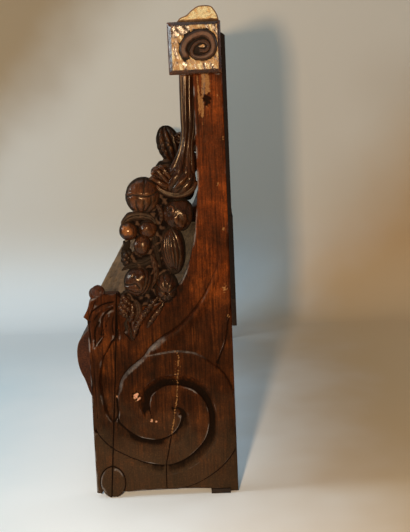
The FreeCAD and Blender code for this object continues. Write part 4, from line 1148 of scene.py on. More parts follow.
def lean(degrees):
    """An upright axis that leans forward by some degrees."""
    return (math.sin(math.radians(degrees)), math.cos(math.radians(degrees)), 0)


def ring(reach, height, radius, tall=1.0):
    """Places around a middle, for a line that is drawn as a ring."""
    turn = np.linspace(0, 2 * math.pi, 17)
    return [(reach + radius * math.cos(a), height + tall * radius * math.sin(a)) for a in turn]


def rib_lines(top, bottom, half, shares, depth, width):
    """Ribs that run from the top of a long fruit to its foot."""
    t = np.linspace(0.05, 0.95, 9)
    lines = []
    for share in shares:
        reach = top[0] + (bottom[0] - top[0]) * t + share * half * np.sin(math.pi * t) ** 0.75
        lines.append((list(zip(reach, top[1] + (bottom[1] - top[1]) * t)), depth, width))
    return lines


def spiral_places(centre, half_high, half_wide, count, turn_offset):
    """Places spread evenly over an egg-shaped berry."""
    steps = np.arange(count) + 0.5
    up = 1 - 2 * steps / count
    spin = math.pi * (1 + 5 ** 0.5) * steps + turn_offset
    flat = np.sqrt(1 - up ** 2)
    return np.column_stack([centre[0] + half_wide * flat * np.cos(spin), centre[1] + half_high * up,
                            centre[2] + half_wide * flat * np.sin(spin)])


LEAF_VEINS = 6


def leaf_shape(spine, half_width, across, thick, curl):
    """A pointed leaf along a spine of (reach, height) places, folded along its middle."""
    run = flow(spine, 2.0)
    n, m = len(run), 13
    along = np.gradient(run, axis=0)
    along /= np.linalg.norm(along, axis=1)[:, None]
    normal = np.column_stack([-along[:, 1], along[:, 0]])
    t = np.linspace(0, 1, n)
    width = half_width * (np.sin(math.pi * np.clip(t, 0, 1) ** 0.75) ** 0.8 + 0.04)
    width *= 1 + 0.10 * np.sin(t * math.pi * 9)
    s = np.linspace(-1, 1, m)
    rows = []
    for i in range(n):
        flat = run[i] + np.outer(s * width[i], normal[i])
        height = across + curl * width[i] * (s ** 2) - 1.6 * np.exp(-(s / 0.12) ** 2)
        height = height + 0.7 * np.sin(LEAF_VEINS * math.pi * (t[i] * 2 - np.abs(s) * 0.7)) * (1 - s ** 2)
        rows.append(np.column_stack([flat, height]))
    top = np.vstack(rows)
    under = top.copy()
    under[:, 2] -= thick * np.tile(1 - 0.75 * s ** 2, n)
    places = np.vstack([top, under])
    verts = np.column_stack([places[:, 2], REAR - places[:, 0], places[:, 1]])
    faces, half = [], n * m
    for i in range(n - 1):
        for j in range(m - 1):
            a, b = i * m + j, (i + 1) * m + j
            faces.append((a, a + 1, b + 1, b))
            faces.append((half + a, half + b, half + b + 1, half + a + 1))
    for i in range(n - 1):
        a, b = i * m, (i + 1) * m
        faces.append((a, b, half + b, half + a))
        a, b = i * m + m - 1, (i + 1) * m + m - 1
        faces.append((a, half + a, half + b, b))
    for j in range(m - 1):
        faces.append((j, half + j, half + j + 1, j + 1))
        a = (n - 1) * m + j
        faces.append((a, a + 1, half + a + 1, half + a))
    return verts, faces


GOURD_LINES = [
    ([(253, 775.6), (251, 776.6), (230, 784), (203.7, 779.5), (183, 781), (166, 792.6)], -4.2, 1.9),
    ([(249, 783), (230, 790), (203.7, 786), (185, 787)], 1.6, 3.5),
    ([(200, 824), (200.5, 806), (202.4, 785)], -3.6, 1.7), ([(226, 816), (229, 803), (228, 790)], -1.2, 2.2),
    ([(224, 768), (222, 748), (213, 732)], -3.6, 2.0), ([(203, 768), (203.5, 750), (209, 732)], -3.6, 2.0),
    ([(243, 773), (237, 752), (221, 735)], -3.4, 2.2), ([(183, 776), (187, 757), (204, 736)], -4.4, 2.4),
    ([(170, 786), (178, 762), (197, 740)], -2.6, 2.2), ([(213, 762), (212, 745)], 1.8, 4.0),
]
BUD_LINES = [(places, -4.6, 2.6) for places in (
    [(165, 792), (178, 822), (205, 846)], [(172, 762), (190, 800), (226, 828)],
    [(190, 745), (210, 778), (246, 800)], [(208, 738), (226, 756), (250, 768)],
    [(170, 826), (184, 852), (200, 870)], [(252, 806), (240, 838), (214, 866)],
    [(250, 776), (236, 806), (212, 832)], [(240, 752), (222, 780), (196, 802)])]
EGG_LINES = [
    ([(163, 741), (158.5, 716), (144, 700), (124, 688)], -4.4, 2.6),
    ([(158, 733), (152, 713), (138, 699)], 2.4, 4.0),
    (ring(139.5, 744, 7.5), 2.6, 2.4), ([(139.5, 744)], -3.2, 3.2), (ring(139.5, 744, 12.5), -1.8, 2.2),
    ([(118, 745), (108, 728)], 3.4, 7.0), ([(134, 718), (112, 704)], 3.2, 7.0), ([(103, 758), (94, 748)], 2.4, 6.0),
    ([(86, 757), (102, 765), (125, 767), (150, 762)], -3.6, 2.2), ([(98, 750), (101, 733), (94, 712)], -2.6, 3.0),
    ([(126, 733), (135, 724), (131, 706)], -2.6, 2.8), ([(152, 762), (160, 750), (162, 741)], -2.6, 2.2),
]
POMEGRANATE_LINES = [
    ([(266, 560), (248, 560.5), (234.8, 563.2), (226, 551)], -4.4, 2.2),
    ([(263, 553), (246, 550), (232, 549)], 1.8, 3.5),
    ([(258, 546), (243, 539), (230, 539)], -3.2, 2.4), (ring(239, 580, 7.0, 1.15), 2.4, 2.2),
    ([(239, 580)], -2.8, 3.0), ([(219, 588), (215, 580)], 2.4, 4.5),
    ([(196, 604), (190.5, 588), (193.4, 566), (204, 541), (220, 524)], -3.8, 2.1),
    ([(207, 605), (200, 588), (202, 566), (212, 543), (226, 528)], -3.2, 1.9),
    ([(217, 601), (209.5, 586), (211, 566), (219, 546)], -2.6, 1.8),
]
MEDLAR_LINES = [([(160.8, 532), end], -3.0, 1.9) for end in (
    (165, 582), (189, 556), (131, 550), (146, 574), (181, 573), (141, 515), (181, 516), (160, 508))] + [
    ([(160.8, 532)], -3.4, 4.0), ([(170, 548), (174, 560)], 1.6, 4.0), ([(152, 548), (149, 560)], 1.6, 4.0)]


def fruit_shapes(far):
    """The fruit, buds and leaves of one end. The far end's highest fruit is a leafy bud, a little taller."""
    mid = MIDDLE
    ribs = rib_lines((148, 705), (136, 580), 31, (0.74, 0.50, 0.29, 0.09, -0.22, -0.62), -3.3, 1.9)
    gourd = ((205, 805, mid), 76, 49) if far else ((206, 778, mid), 46.5, 44.5)
    leafy = fold_lines(9, 0.24, 1.2, 0.4) if far else None
    shapes = [
        ball_shape(gourd[0], lean(14 if far else -8), gourd[1], gourd[2], leafy, 90, 52, 0.77,
                   lines=BUD_LINES if far else GOURD_LINES),
        ball_shape((122.5, 729.5, mid), lean(0), 43.5, 38.5, None, 90, 56, 0.88, lines=EGG_LINES, lumps=1.7,
                   seed=2),
        ball_shape((247, 693, mid + 8), lean(20), 23.5, 23.5, None, 48, 28, lines=[([(253, 711)], -2, 4)], seed=3),
        ball_shape((247, 693, mid - 13), lean(20), 21, 21, None, 36, 20, seed=4),
        ball_shape((198, 697, mid + 7), lean(-10), 24.5, 23.5, None, 52, 30, seed=5, lines=[
            ([(217, 710), (205, 717), (188, 715)], -2.8, 2.2), ([(208, 696), (199, 704)], 2.4, 5),
            ([(186, 704), (184, 690)], -1.8, 2.5)]),
        ball_shape((199, 696, mid - 13), lean(-10), 22, 22, None, 36, 20, seed=6),
        ball_shape((214.5, 656, mid + 6), lean(-16), 28.5, 22, None, 48, 30, seed=7, lines=[
            ([(222, 668), (208, 672)], -1.5, 3), ([(210, 650)], 1.5, 8)]),
        ball_shape((215, 656, mid - 13), lean(-16), 26, 20, None, 36, 20, seed=8),
        ball_shape((140, 642, mid), lean(3), 64.5, 32, None, 110, 70, seed=9, lines=ribs),
        ball_shape((228, 563.5, mid), lean(-14), 40.5, 39, None, 104, 64, 0.87, seed=10, lumps=1.3,
                   lines=POMEGRANATE_LINES),
        ball_shape((161, 546, mid), lean(4), 42, 31, None, 84, 54, seed=11, lumps=1.1, lines=MEDLAR_LINES),
        ball_shape((254, 626, mid + 2), lean(5), 19.5, 12, None, 36, 20, seed=12),
        ball_shape((266, 504, mid + 8), lean(0), 29, 15.5, None, 40, 24, seed=13),
    ]
    leaves = (
        ([(263, 707), (251, 722), (233, 730), (208, 730), (188, 723), (177, 708)], 11, mid + 17, 30, -0.4),
        ([(186, 633), (197, 620), (214, 612), (237, 607), (254, 603), (270, 595)], 11.5, mid + 15, 26, -0.35),
        ([(194, 632), (187, 611), (184, 590), (188, 568), (198, 546)], 7, mid + 20, 28, -0.4),
        ([(173, 758), (165, 741), (163, 724), (168, 706)], 6.5, mid + 20, 26, -0.5),
        ([(178, 706), (183, 690), (182, 660), (178, 628), (171, 596)], 8.5, mid + 14, 24, -0.5),
        ([(246, 668), (254, 655), (262, 640), (266, 622)], 8, mid + 10, 18, -0.4),
        ([(240, 520), (233, 500), (234, 482), (246, 462)], 9, HALF - 5, 12, -0.45),
        ([(257, 474), (263, 458), (259, 440), (250, 414)], 9, HALF - 7, 10, -0.4),
    )
    shapes += [leaf_shape(*leaf) for leaf in leaves]
    beads = (((254, 626, mid + 2), 18.5, 11.5, 26, 0.5, 6.4), ((266, 504, mid + 8), 26.5, 13.5, 34, 1.1, 7.6))
    for centre, high, wide, count, offset, size in beads:
        shapes.append(grown(bead_tree, spiral_places(centre, high, wide, count, offset), {
            "Bead radius": size * MM, "Smallest": 0.6, "Seed": 3, "Material": wood("fruit_wood")}))
    pods = (
        ([(180, 526), (187, 520), (199, 507), (210, 493), (226, 474), (238, 453), (245, 436), (249, 420)],
         HALF - 7, 8.6, 13.5, 0.132),
        ([(168, 512), (175, 500), (185, 488), (196, 474), (206, 459), (214, 446)], HALF - 9, 7.8, 15, 0.088),
        ([(250, 512), (247, 494), (251, 478), (257, 462)], HALF - 8, 7.5, 12, 0.11),
        ([(262, 668), (256, 650), (262, 632), (268, 612)], mid - 2, 6.0, 11, 0.0825),
        ([(240, 536), (252, 540), (264, 538), (274, 530)], mid + 8, 6.0, 9, 0.11),
    )
    for points, across, thick, lump, depth in pods:
        run = flow(points, 3.0)
        shapes.append(grown(pod_tree, np.column_stack([run, np.full(len(run), across)]), {
            "Thickness": thick * MM, "Lump length": lump * MM, "Lump depth": depth,
            "Roughness": 5 * MM, "Material": wood("fruit_wood")}, True))
    return shapes


def fruit_marks(co, wear_and_highlight, wax_and_shade):
    """Fruit is rubbed and painted lit where it stands out most, with a painted highlight on one fruit, and painted
    shade darkens it close to its bed.
    """
    out = np.abs(np.abs(co[:, 0]) - MIDDLE)
    # Paler where it stands out: rubbing together with painted light
    rubbed = 0.42 * ease(out, 20, 42) * np.clip(0.45 + 0.6 * ripple(co, 26, 81), 0, 1)
    # A painted highlight on one fruit
    rubbed += 0.6 * ease(np.hypot(REAR - co[:, 1] - 250, co[:, 2] - 698), 20, 6) * ease(out, 10, 16)
    # Darker towards the bed: painted shade
    return np.clip(0.3 * wear_and_highlight + rubbed, 0, 1), np.clip(1.2 * wax_and_shade + 0.8 * ease(out, 23, 9), 0, 1), wear_and_highlight * 0


def bed_marks(co, wear_and_highlight, wax_and_shade):
    """The bed behind the fruit is darkened all over and in its hollows, painted shade behind the fruit, with paler
    high places.
    """
    return wear_and_highlight, np.clip(1.3 * wax_and_shade + 0.25, 0, 1), wear_and_highlight * 0


def cloth_marks(co, wear_and_highlight, wax_and_shade):
    """Cloth is darkened between its folds and on its sides, painted shade, and darker at the low roll; it is rubbed
    a little along the folds.
    """
    out = np.abs(np.abs(co[:, 0]) - MIDDLE)
    low = ease(co[:, 2], 800, 786)
    return 0.4 * wear_and_highlight * (1 - low), np.clip(1.15 * wax_and_shade + 0.3 * ease(out, 12, 3) + 0.35 * low, 0, 1), wear_and_highlight * 0


def bud_marks(co, wear_and_highlight, wax_and_shade):
    """The bud is rubbed all over."""
    return np.maximum(wear_and_highlight, 0.4), 0.9 * wax_and_shade, wear_and_highlight * 0


BED = [(150, 845), (196, 815), (224, 760), (243, 720), (250, 700), (232, 668), (225, 650), (246, 632), (240, 600),
       (248, 560), (262, 530), (268, 505), (262, 480), (216, 476), (170, 500), (160, 540), (142, 600), (128, 650),
       (124, 700), (112, 760), (106, 800)]


def bed_shape():
    """The carved ground that joins the fruit."""
    outline = flow(BED + BED[:1], 3.0)[:-1]

    def rough(p):
        return 3.4 * ripple(p, 26, 41) + 0.9 * ripple(p, 9, 42)
    return board_shape(outline, MIDDLE - 11, MIDDLE + 11, rough, edge=4, inner_edge=4, rows=6, spacing=5,
                       waviness=1.5, seed=43)


SPINE = [(87.5, 1066.5, 17.5), (88, 1010, 17.8), (87.7, 963, 18.6), (88.5, 933, 17.6), (93.5, 902, 16.9),
         (98, 874, 21.5), (103.5, 849, 29), (108.5, 829, 35), (114, 812, 36.5), (121, 799, 31), (129, 790, 17)]


def cloth_flutes(turn, t):
    """Size of the falling cloth at each turn, with deep and shallow folds that twist on their way down."""
    swirl = turn + 0.35 * math.sin(3.2 * t) + 0.5 * max(0.0, t - 0.6)
    folds = 1 - 0.33 * (1 - np.abs(np.sin(3 * swirl + 0.5))) ** 1.7
    small = 1 - 0.05 * (1 - np.abs(np.sin(6 * swirl + 1.2))) ** 2
    return folds * small / np.sqrt(np.cos(turn) ** 2 + (np.sin(turn) / 0.86) ** 2)


def cloth_shapes():
    """The falling cloth, its knot, the bands around the knot and the roll under it."""
    mid = MIDDLE
    run = flow(SPINE, 3.0)
    path = np.column_stack([run[:, :2], np.full(len(run), mid)])
    shapes = [
        tube_shape(path, np.minimum(run[:, 2], 33), 120, cloth_flutes),
        ball_shape((114, 810, mid), (0.6, -0.8, 0), 42, 40.5, fold_lines(11, 0.12, 1.5, 0.4), 110, 50, 0.79,
                   seed=21,
                   lines=[([(96, 824), (111, 810), (123, 801), (133, 793)], 2.4, 3.0),
                          ([(90, 816), (105, 802), (120, 794)], -3.0, 2.4)]),
        ball_shape((156, 827, mid), lean(62), 31, 21.5, fold_lines(8, 0.2, 1.2, 0.2), 84, 40, 1.15, seed=22),
    ]
    bands = (((182, 832), (170, 841), (158.5, 830), (144, 812), (133, 803)),
             ((164, 848), (152, 843), (142, 829), (133, 816)),
             ((182, 822), (170, 815), (154, 806), (140, 800)))
    for points in bands:
        band = flow(points, 3.0)
        lift = 16 + 6 * np.sin(np.linspace(0.2, math.pi, len(band)))
        for side in (1, -1):
            shapes.append(tube_shape(np.column_stack([band, mid + side * lift]),
                                     6.2 * np.sin(np.linspace(0.35, 2.8, len(band))) ** 0.5, 18))
    roll = flow([(74, 808), (82, 794), (97, 783), (120, 778), (143, 782), (161, 791), (173, 803)], 3.0)
    thick = 10.5 * np.sin(math.pi * (np.linspace(0, 1, len(roll)) * 0.94 + 0.03)) ** 0.4

    def creases(turn, t):
        return 1 - 0.14 * (1 - np.abs(np.sin(2.5 * turn + 0.3 + t))) ** 1.3
    for across in (mid + 12, mid - 12, mid + 2):
        shapes.append(tube_shape(np.column_stack([roll, np.full(len(roll), across)]), thick, 36, creases))
    return shapes


# Settings a user may change
class BenchCarving(bpy.types.PropertyGroup):
    edge_width: bpy.props.FloatProperty(name="Rounded edge", description="Width of the rounding along the planks",
                                        default=0.0024, min=0.0005, max=0.006, unit='LENGTH')
    spacing: bpy.props.FloatProperty(name="Spacing", description="Distance between the places of a carved face",
                                     default=0.0032, min=0.002, max=0.01, unit='LENGTH')
    # Also scales the painted highlights and painted reflection laid on as wear
    edge_rub_and_highlight: bpy.props.FloatProperty(name="Rubbing", description="How far the raised edges are rubbed pale",
                                      default=1.0, min=0.0, max=1.5, subtype='FACTOR')
    dullness: bpy.props.FloatProperty(name="Dullness", description="Added to the roughness of every waxed wood",
                                      default=0.0, min=-0.2, max=0.4)


class BenchStage(bpy.types.PropertyGroup):
    floor_size: bpy.props.FloatProperty(name="Floor", description="Length of each side of the floor", default=14.0,
                                        unit='LENGTH')
    wall_distance: bpy.props.FloatProperty(name="Paper", description="How far the hung paper is from the middle",
                                           default=1.28, unit='LENGTH')
    lens: bpy.props.FloatProperty(name="Lens", description="Focal length of the camera in millimetres",
                                  default=45.11)
    floor_color: bpy.props.FloatVectorProperty(name="Floor colour",
                                               description="Colour of the floor near the camera", subtype='COLOR',
                                               default=(0.95, 0.95, 0.94), size=3)
    wall_color: bpy.props.FloatVectorProperty(name="Paper colour", description="Colour of the hung paper",
                                              subtype='COLOR', default=(0.64, 0.555, 0.455), size=3)


class BENCH_OT_ends(bpy.types.Operator):
    """Builds the carved planks and the buds of both ends"""
    bl_idname = "bench.ends"
    bl_label = "Carved ends"

    def execute(self, context):
        settings = context.scene.bench_carving
        main, front = plank_shapes(settings.edge_width / MM, settings.spacing / MM)
        ball = ball_shape((332.5, 542, HALF - 14), (0, 1, 0), 17.2, 17.2, None, 48, 28, seed=51)
        turn = np.linspace(-1.1, 0.75, 34)
        path = np.column_stack([333 + 17.5 * np.cos(turn), 539 + 18.5 * np.sin(turn), np.full(34, HALF - 16.0)])
        curl = tube_shape(path, 5.4 * np.sin(np.linspace(0.25, math.pi - 0.2, 34)) ** 0.6, 20)
        for side, mirror in (("right", False), ("left", True)):
            make_piece(side + "_carved_plank", main, wood("end_wood"), [side + "_main_plank"],
                       mirror, end_marks)
            make_piece(side + "_leaf_plank", front, wood("end_wood"), [side + "_front_plank"],
                       mirror, end_marks)
            make_piece(side + "_bud", joined([ball, curl]), wood("end_wood"),
                       [side + "_front_plank"], mirror, bud_marks)
        return {'FINISHED'}


class BENCH_OT_capitals(bpy.types.Operator):
    """Builds the bevelled blocks on the posts with their rope curls"""
    bl_idname = "bench.capitals"
    bl_label = "Capitals"

    def execute(self, context):
        outline = rounded(block((0, POST_TOP), (CAPITAL_REACH, CAPITAL_TOP)), 2.0, 2.5)
        face = block((BEVEL_REAR, POST_TOP + BEVEL_LOW), (CAPITAL_REACH - BEVEL_FRONT, CAPITAL_TOP - BEVEL_HIGH))
        shape = board_shape(outline, INNER - CAPITAL_PROUD, HALF + CAPITAL_PROUD, capital_relief, edge=1.8,
                            inner_edge=1.6, rows=5.0, features=[straight(face + face[:1], 2.0), CURL_RUN],
                            spacing=2.2, fine=1.1, band=8.8, seed=51)
        for side, mirror in (("right", False), ("left", True)):
            make_piece(side + "_curl_block", shape, wood("capital_wood"), [side + "_capital"],
                       mirror, capital_marks)
        return {'FINISHED'}


class BENCH_OT_festoons(bpy.types.Operator):
    """Builds the falling cloth, its knot and the fruit on both ends"""
    bl_idname = "bench.festoons"
    bl_label = "Festoons"

    def execute(self, context):
        cloth = joined(cloth_shapes())
        for side, mirror in (("right", False), ("left", True)):
            fruit = joined(fruit_shapes(mirror))
            make_piece(side + "_festoon_cloth", cloth, wood("fruit_wood"), [side + "_festoon"],
                       mirror, cloth_marks)
            make_piece(side + "_festoon_fruit", fruit, wood("fruit_wood"), [side + "_festoon"],
                       mirror, fruit_marks)
            make_piece(side + "_festoon_bed", bed_shape(), wood("bed_wood"), [side + "_festoon"],
                       mirror, bed_marks)
        return {'FINISHED'}


def crest_marks(co, wear_and_highlight, wax_and_shade):
    """Pale gold painted as glare on the ends of the crest, as on the capitals' faces."""
    edge = nearest(np.column_stack([REAR - co[:, 1], co[:, 2]]), flow(CREST))[0]
    flat = (np.abs(co[:, 0]) > HALF - 1.5) * ease(edge, 1.6, 3.2)
    # worn holds the pale gold painted as glare
    worn = 0.86 + 0.2 * ripple(co[:, 1:], 18, 62) + 0.12 * ripple(co[:, 1:], 5, 63)
    return wear_and_highlight, wax_and_shade, np.clip(worn, 0, 1) * flat


def end_grain_marks(co, wear_and_highlight, wax_and_shade):
    """The sawn ends of the boards are dark: end grain and dirt, with painted shade at the bench's rear."""
    return wear_and_highlight, np.maximum(wax_and_shade, 0.95 * (np.abs(co[:, 0]) > HALF - 4)), wear_and_highlight * 0


class BENCH_OT_boards(bpy.types.Operator):
    """Builds the crest, the top rail, the swelling apron and the boards of the back"""
    bl_idname = "bench.boards"
    bl_label = "Crest, apron and back"

    def execute(self, context):
        crest = np.vstack([flow(CREST, 2.5), [(3.2, 1190)]])[:-1]
        make_piece("crest_moulding", board_shape(crest, -HALF, HALF, edge=1.6, inner_edge=1.6, rows=22, spacing=4,
                                                 seed=61), wood("rail_wood"), ["crest_rail"],
                   marks=crest_marks)
        apron = np.vstack([flow(SWELL, 4.0)[:-1], straight([(367.1, 255), (365.5, 237), (345, 236), (345, 462),
                                                            (365, 462), (365, 440)], 4.0)[:-1]])
        make_piece("swelling_apron", board_shape(apron, -INNER, INNER, edge=1.2, rows=18, spacing=6, seed=63),
                   wood("apron_wood"), ["apron"])
        boards = (
            ("back_board_upper", [(-9.5, 723.2), (0, 723.2), (0, 1163), (-9.5, 1155.5)], HALF, "back_wood",
             "back_wood", "upper_back_board", 1.2),
            ("back_board_lower", block((-12, 515.2), (0, 722.8)), HALF, "back_wood", "back_wood",
             "lower_back_board", 1.4),
            ("pale_back_strip", block((-12, 444), (0, 514.8)), HALF, "strip_wood", "pale_strip",
             "seat_back_strip", 1.4),
            ("top_back_rail", block((0, 1078), (38, CAPITAL_TOP)), INNER - CAPITAL_PROUD, "rail_wood",
             "board_walnut", "top_rail", 2.0),
        )
        for name, corners, half, finish, slot, node, edge in boards:
            outline = rounded(corners, edge, 7.0)
            shape = board_shape(outline, -half, half, edge=edge, rows=20, spacing=5, seed=len(name), waviness=0.5)
            make_piece(name, shape, wood(finish), [node], marks=end_grain_marks)
        return {'FINISHED'}


class BENCH_OT_seat(bpy.types.Operator):
    """Builds the two boards of the seat with their worn nosing"""
    bl_idname = "bench.seat"
    bl_label = "Seat"

    def execute(self, context):
        nosing = [(368 - 10 + 10 * math.sin(a), SEAT_TOP - 10 + 10 * math.cos(a))
                  for a in np.linspace(math.pi / 2, 0, 7)]
        front = straight([(368, 463), (368, 470)] + nosing + [(300, SEAT_TOP), (187.2, SEAT_TOP), (186.4, 491),
                                                              (186.4, 463), (187.4, 462), (367, 462), (368, 463)],
                         5.0)[:-1]
        rear = rounded(block((0, SEAT_LOW), (SEAT_JOINT, SEAT_TOP)), 1.2, 5.0)
        for name, outline, node in (("seat_front", front, "seat_front_board"),
                                    ("seat_rear", rear, "seat_rear_board")):
            shape = board_shape(outline, -INNER, INNER, edge=1.0, rows=14, spacing=6, seed=71, waviness=0.7)
            make_piece(name, shape, wood("seat_wood"), [node])
        return {'FINISHED'}


class BENCH_OT_frame_finish(bpy.types.Operator):
    """Gives the rails, bearers, blocks, dowels, feet and nails of the frame their finishes"""
    bl_idname = "bench.frame_finish"
    bl_label = "Hidden frame and nails"

    def execute(self, context):
        finishes = {
            "back_wood": ("right_rear_foot", "left_rear_foot"),
            "upright_wood": ("right_seat_cleat", "left_seat_cleat", "left_bearer", "middle_bearer", "right_bearer"),
            "under_wood": ("right_joint_dowels", "left_joint_dowels", "crest_dowels", "rear_rail", "glue_blocks"),
        }
        for finish, nodes in finishes.items():
            for node in nodes:
                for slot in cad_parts[node].material_slots:
                    slot.material = wood(finish)
        for node in ("back_nails", "seat_nails"):
            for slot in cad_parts[node].material_slots:
                slot.material = iron()
        return {'FINISHED'}


# Colours of the paper away from the middle of the picture, painted light and shade: cool light on the left, warm
# light on the right, shade high on the left; and of the world as a light and as it is seen
FLOOR_LEFT_COOL_LIGHT = (0.70, 0.81, 0.85)
WALL_LEFT = (0.62, 0.56, 0.49)
FOLD = (0.73, 0.76, 0.77)
RIGHT_WARM_LIGHT = (0.58, 0.39, 0.215)
HIGH_LEFT_SHADE = (0.36, 0.245, 0.14)
WORLD_LIGHT, WORLD_STRENGTH = (0.36, 0.73, 1.0, 1), 0.26
WORLD_SEEN = (0.50, 0.48, 0.45, 1)

# Distance in metres over which the paper fades out of sight, far from the bench
FADE_START, FADE_END = 2.3, 3.2


def paper(name, main, left, one_way):
    """Matt paper that shades gently across, upwards and towards the fold, painted light and shade: cool light on
    the left, warm light on the right, shade high on the left.

    Far off it isn't seen. One-way paper isn't there from behind either.
    """
    material, t, place = new_material(name)
    along, across, height = add(t, "ShaderNodeSeparateXYZ", {"Vector": place}).outputs
    cloud = sum_of(t, 'MULTIPLY', sum_of(t, 'SUBTRACT', noise(t, place, 1.6, 3.0), 0.5), 0.55)
    across = sum_of(t, 'ADD', across, cloud)
    mix = blend_of(t, spread(t, across, -0.15, -0.9), main, left)
    fold = spread(t, height, 0.5, 0.04) if one_way else spread(t, along, -0.1, -0.95)
    mix = blend_of(t, fold, mix, FOLD)
    slant = sum_of(t, 'SUBTRACT', across, height)
    mix = blend_of(t, spread(t, slant, -0.1, 0.75), mix, RIGHT_WARM_LIGHT)
    mix = blend_of(t, spread(t, slant, -1.3, -2.0), mix, HIGH_LEFT_SHADE)
    shader = add(t, "ShaderNodeBsdfPrincipled", {"Base Color": mix, "Roughness": 0.92, "Specular IOR Level": 0.1})
    apart = add(t, "ShaderNodeVectorMath", {0: place}, operation='LENGTH').outputs["Value"]
    seen = add(t, "ShaderNodeLightPath").outputs["Is Camera Ray"]
    gone = sum_of(t, 'MULTIPLY', spread(t, apart, FADE_START, FADE_END), seen)
    if one_way:
        gone = sum_of(t, 'MAXIMUM', gone, add(t, "ShaderNodeNewGeometry").outputs["Backfacing"])
    clear = add(t, "ShaderNodeBsdfTransparent")
    both = add(t, "ShaderNodeMixShader", {0: gone, 1: shader.outputs[0], 2: clear.outputs[0]})
    add(t, "ShaderNodeOutputMaterial", {"Surface": both.outputs[0]})
    return material


def stage_sheet(name, verts, faces, material):
    """A sheet of the stage, which is no part of the bench."""
    mesh = bpy.data.meshes.new(name)
    mesh.from_pydata(verts, [], faces)
    mesh.shade_smooth()
    mesh.materials.append(material)
    sheet_object = bpy.data.objects.new(name, mesh)
    bpy.context.scene.collection.objects.link(sheet_object)


# The fitted camera: its place in millimetres, and its yaw, pitch and roll in degrees
CAMERA_PLACE = (HALF + 2435.134, REAR - 29.345, 1055.48)
CAMERA_TURN = (-0.753, 10.605, -2.514)

# Lamps: name, place, target, length of a side, power and colour
LAMPS = (
    ("camera_lamp", (3.3, -0.18, 1.145), (0.75, 0.02, 0.62), 0.12, 76, (1.0, 0.76, 0.50)),
    ("left_window", (1.0, -3.2, 1.6), (0.5, 0, 0.6), 0.9, 60, (0.66, 0.85, 1.0)),
    ("top_soft", (0.3, -0.9, 3.4), (0.2, 0, 0.4), 2.4, 18, (0.95, 0.97, 1.0)),
    ("rear_soft", (-1.0, 3.2, 2.2), (-0.1, 0.1, 0.6), 2.0, 26, (0.90, 0.94, 1.0)),
    ("far_soft", (-3.2, -1.6, 1.8), (-0.7, 0, 0.6), 1.4, 36, (1.0, 0.97, 0.93)),
)


def camera_axes():
    """The directions ahead of, to the right of and above the camera."""
    yaw, pitch, roll = [math.radians(a) for a in CAMERA_TURN]
    ahead, right, up = Vector((-1, 0, 0)), Vector((0, 1, 0)), Vector((0, 0, 1))
    ahead, right = math.cos(yaw) * ahead + math.sin(yaw) * right, math.cos(yaw) * right - math.sin(yaw) * ahead
    ahead, up = math.cos(pitch) * ahead - math.sin(pitch) * up, math.cos(pitch) * up + math.sin(pitch) * ahead
    right, up = math.cos(roll) * right + math.sin(roll) * up, math.cos(roll) * up - math.sin(roll) * right
    return ahead, right, up


def area_light(name, place, target, size, power, color):
    light = bpy.data.lights.new(name, 'AREA')
    light.shape = 'RECTANGLE'
    light.size = light.size_y = size
    light.energy = power
    light.color = color
    lamp = bpy.data.objects.new(name, light)
    lamp.location = place
    lamp.rotation_euler = (Vector(target) - Vector(place)).to_track_quat('-Z', 'Y').to_euler()
    bpy.context.scene.collection.objects.link(lamp)


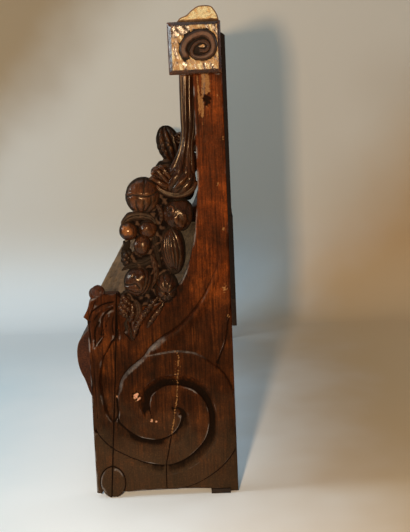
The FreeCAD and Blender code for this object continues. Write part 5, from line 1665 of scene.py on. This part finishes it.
class BENCH_OT_stage(bpy.types.Operator):
    """Sets up the floor, the backdrop, the soft lights and the camera"""
    bl_idname = "bench.stage"
    bl_label = "Stage"

    def execute(self, context):
        scene = context.scene
        settings = scene.bench_stage
        half = settings.floor_size / 2
        floor, wall = tuple(settings.floor_color), tuple(settings.wall_color)
        corners = [(x, y, 0) for x, y in block((-half, -half), (half, half))]
        stage_sheet("floor", corners, [(0, 1, 2, 3)], paper("floor_paper", floor, FLOOR_LEFT_COOL_LIGHT, False))
        back, bend = -settings.wall_distance, 0.32
        profile = [(back + bend - bend * math.sin(a), 0.0005 + bend * (1 - math.cos(a)))
                   for a in np.linspace(0, math.pi / 2, 15)] + [(back, 3.0)]
        verts = [(x, y, z) for x, z in profile for y in (-3.0, 3.0)]
        faces = [(2 * i, 2 * i + 1, 2 * i + 3, 2 * i + 2) for i in range(len(profile) - 1)]
        stage_sheet("hung_paper", verts, faces, paper("wall_paper", wall, WALL_LEFT, True))

        camera = bpy.data.cameras.new("camera")
        camera.sensor_fit = 'VERTICAL'
        camera.sensor_height = 24
        camera.lens = settings.lens
        holder = bpy.data.objects.new("camera", camera)
        ahead, right, up = camera_axes()
        turn = holder.matrix_world.copy()
        for row in range(3):
            turn[row][0], turn[row][1], turn[row][2] = right[row], up[row], -ahead[row]
            turn[row][3] = CAMERA_PLACE[row] * MM
        holder.matrix_world = turn
        scene.collection.objects.link(holder)
        scene.camera = holder

        for lamp in LAMPS:
            area_light(*lamp)

        world = bpy.data.worlds.new("studio")
        world.use_nodes = True
        t = world.node_tree
        t.nodes.clear()
        light = add(t, "ShaderNodeBackground", {"Color": WORLD_LIGHT, "Strength": WORLD_STRENGTH})
        seen = add(t, "ShaderNodeBackground", {"Color": WORLD_SEEN, "Strength": 1.0})
        camera_ray = add(t, "ShaderNodeLightPath").outputs["Is Camera Ray"]
        both = add(t, "ShaderNodeMixShader", {0: camera_ray, 1: light.outputs[0], 2: seen.outputs[0]})
        add(t, "ShaderNodeOutputWorld", {"Surface": both.outputs[0]})
        scene.world = world
        scene.view_settings.view_transform = 'Standard'
        return {'FINISHED'}


class BENCH_PT_panel(bpy.types.Panel):
    """Lists the pieces of the bench"""
    bl_label = "Carved hall bench"
    bl_idname = "BENCH_PT_panel"
    bl_space_type = 'VIEW_3D'
    bl_region_type = 'UI'
    bl_category = "Bench"

    def draw(self, context):
        layout = self.layout
        for name in ("edge_width", "spacing", "edge_rub_and_highlight", "dullness"):
            layout.prop(context.scene.bench_carving, name)
        for name in ("floor_size", "wall_distance", "lens", "floor_color", "wall_color"):
            layout.prop(context.scene.bench_stage, name)
        for operator in OPERATORS:
            layout.operator(operator.bl_idname)


OPERATORS = (BENCH_OT_stage, BENCH_OT_ends, BENCH_OT_capitals, BENCH_OT_festoons, BENCH_OT_boards, BENCH_OT_seat,
             BENCH_OT_frame_finish)
CLASSES = (BenchCarving, BenchStage) + OPERATORS + (BENCH_PT_panel,)


def register():
    for item in CLASSES:
        bpy.utils.register_class(item)
    bpy.types.Scene.bench_carving = bpy.props.PointerProperty(type=BenchCarving)
    bpy.types.Scene.bench_stage = bpy.props.PointerProperty(type=BenchStage)


def unregister():
    del bpy.types.Scene.bench_stage
    del bpy.types.Scene.bench_carving
    for item in reversed(CLASSES):
        bpy.utils.unregister_class(item)


def main():
    register()
    for operator in OPERATORS:
        group, name = operator.bl_idname.split(".")
        getattr(getattr(bpy.ops, group), name)()
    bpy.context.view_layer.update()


if __name__ == "__main__":
    main()
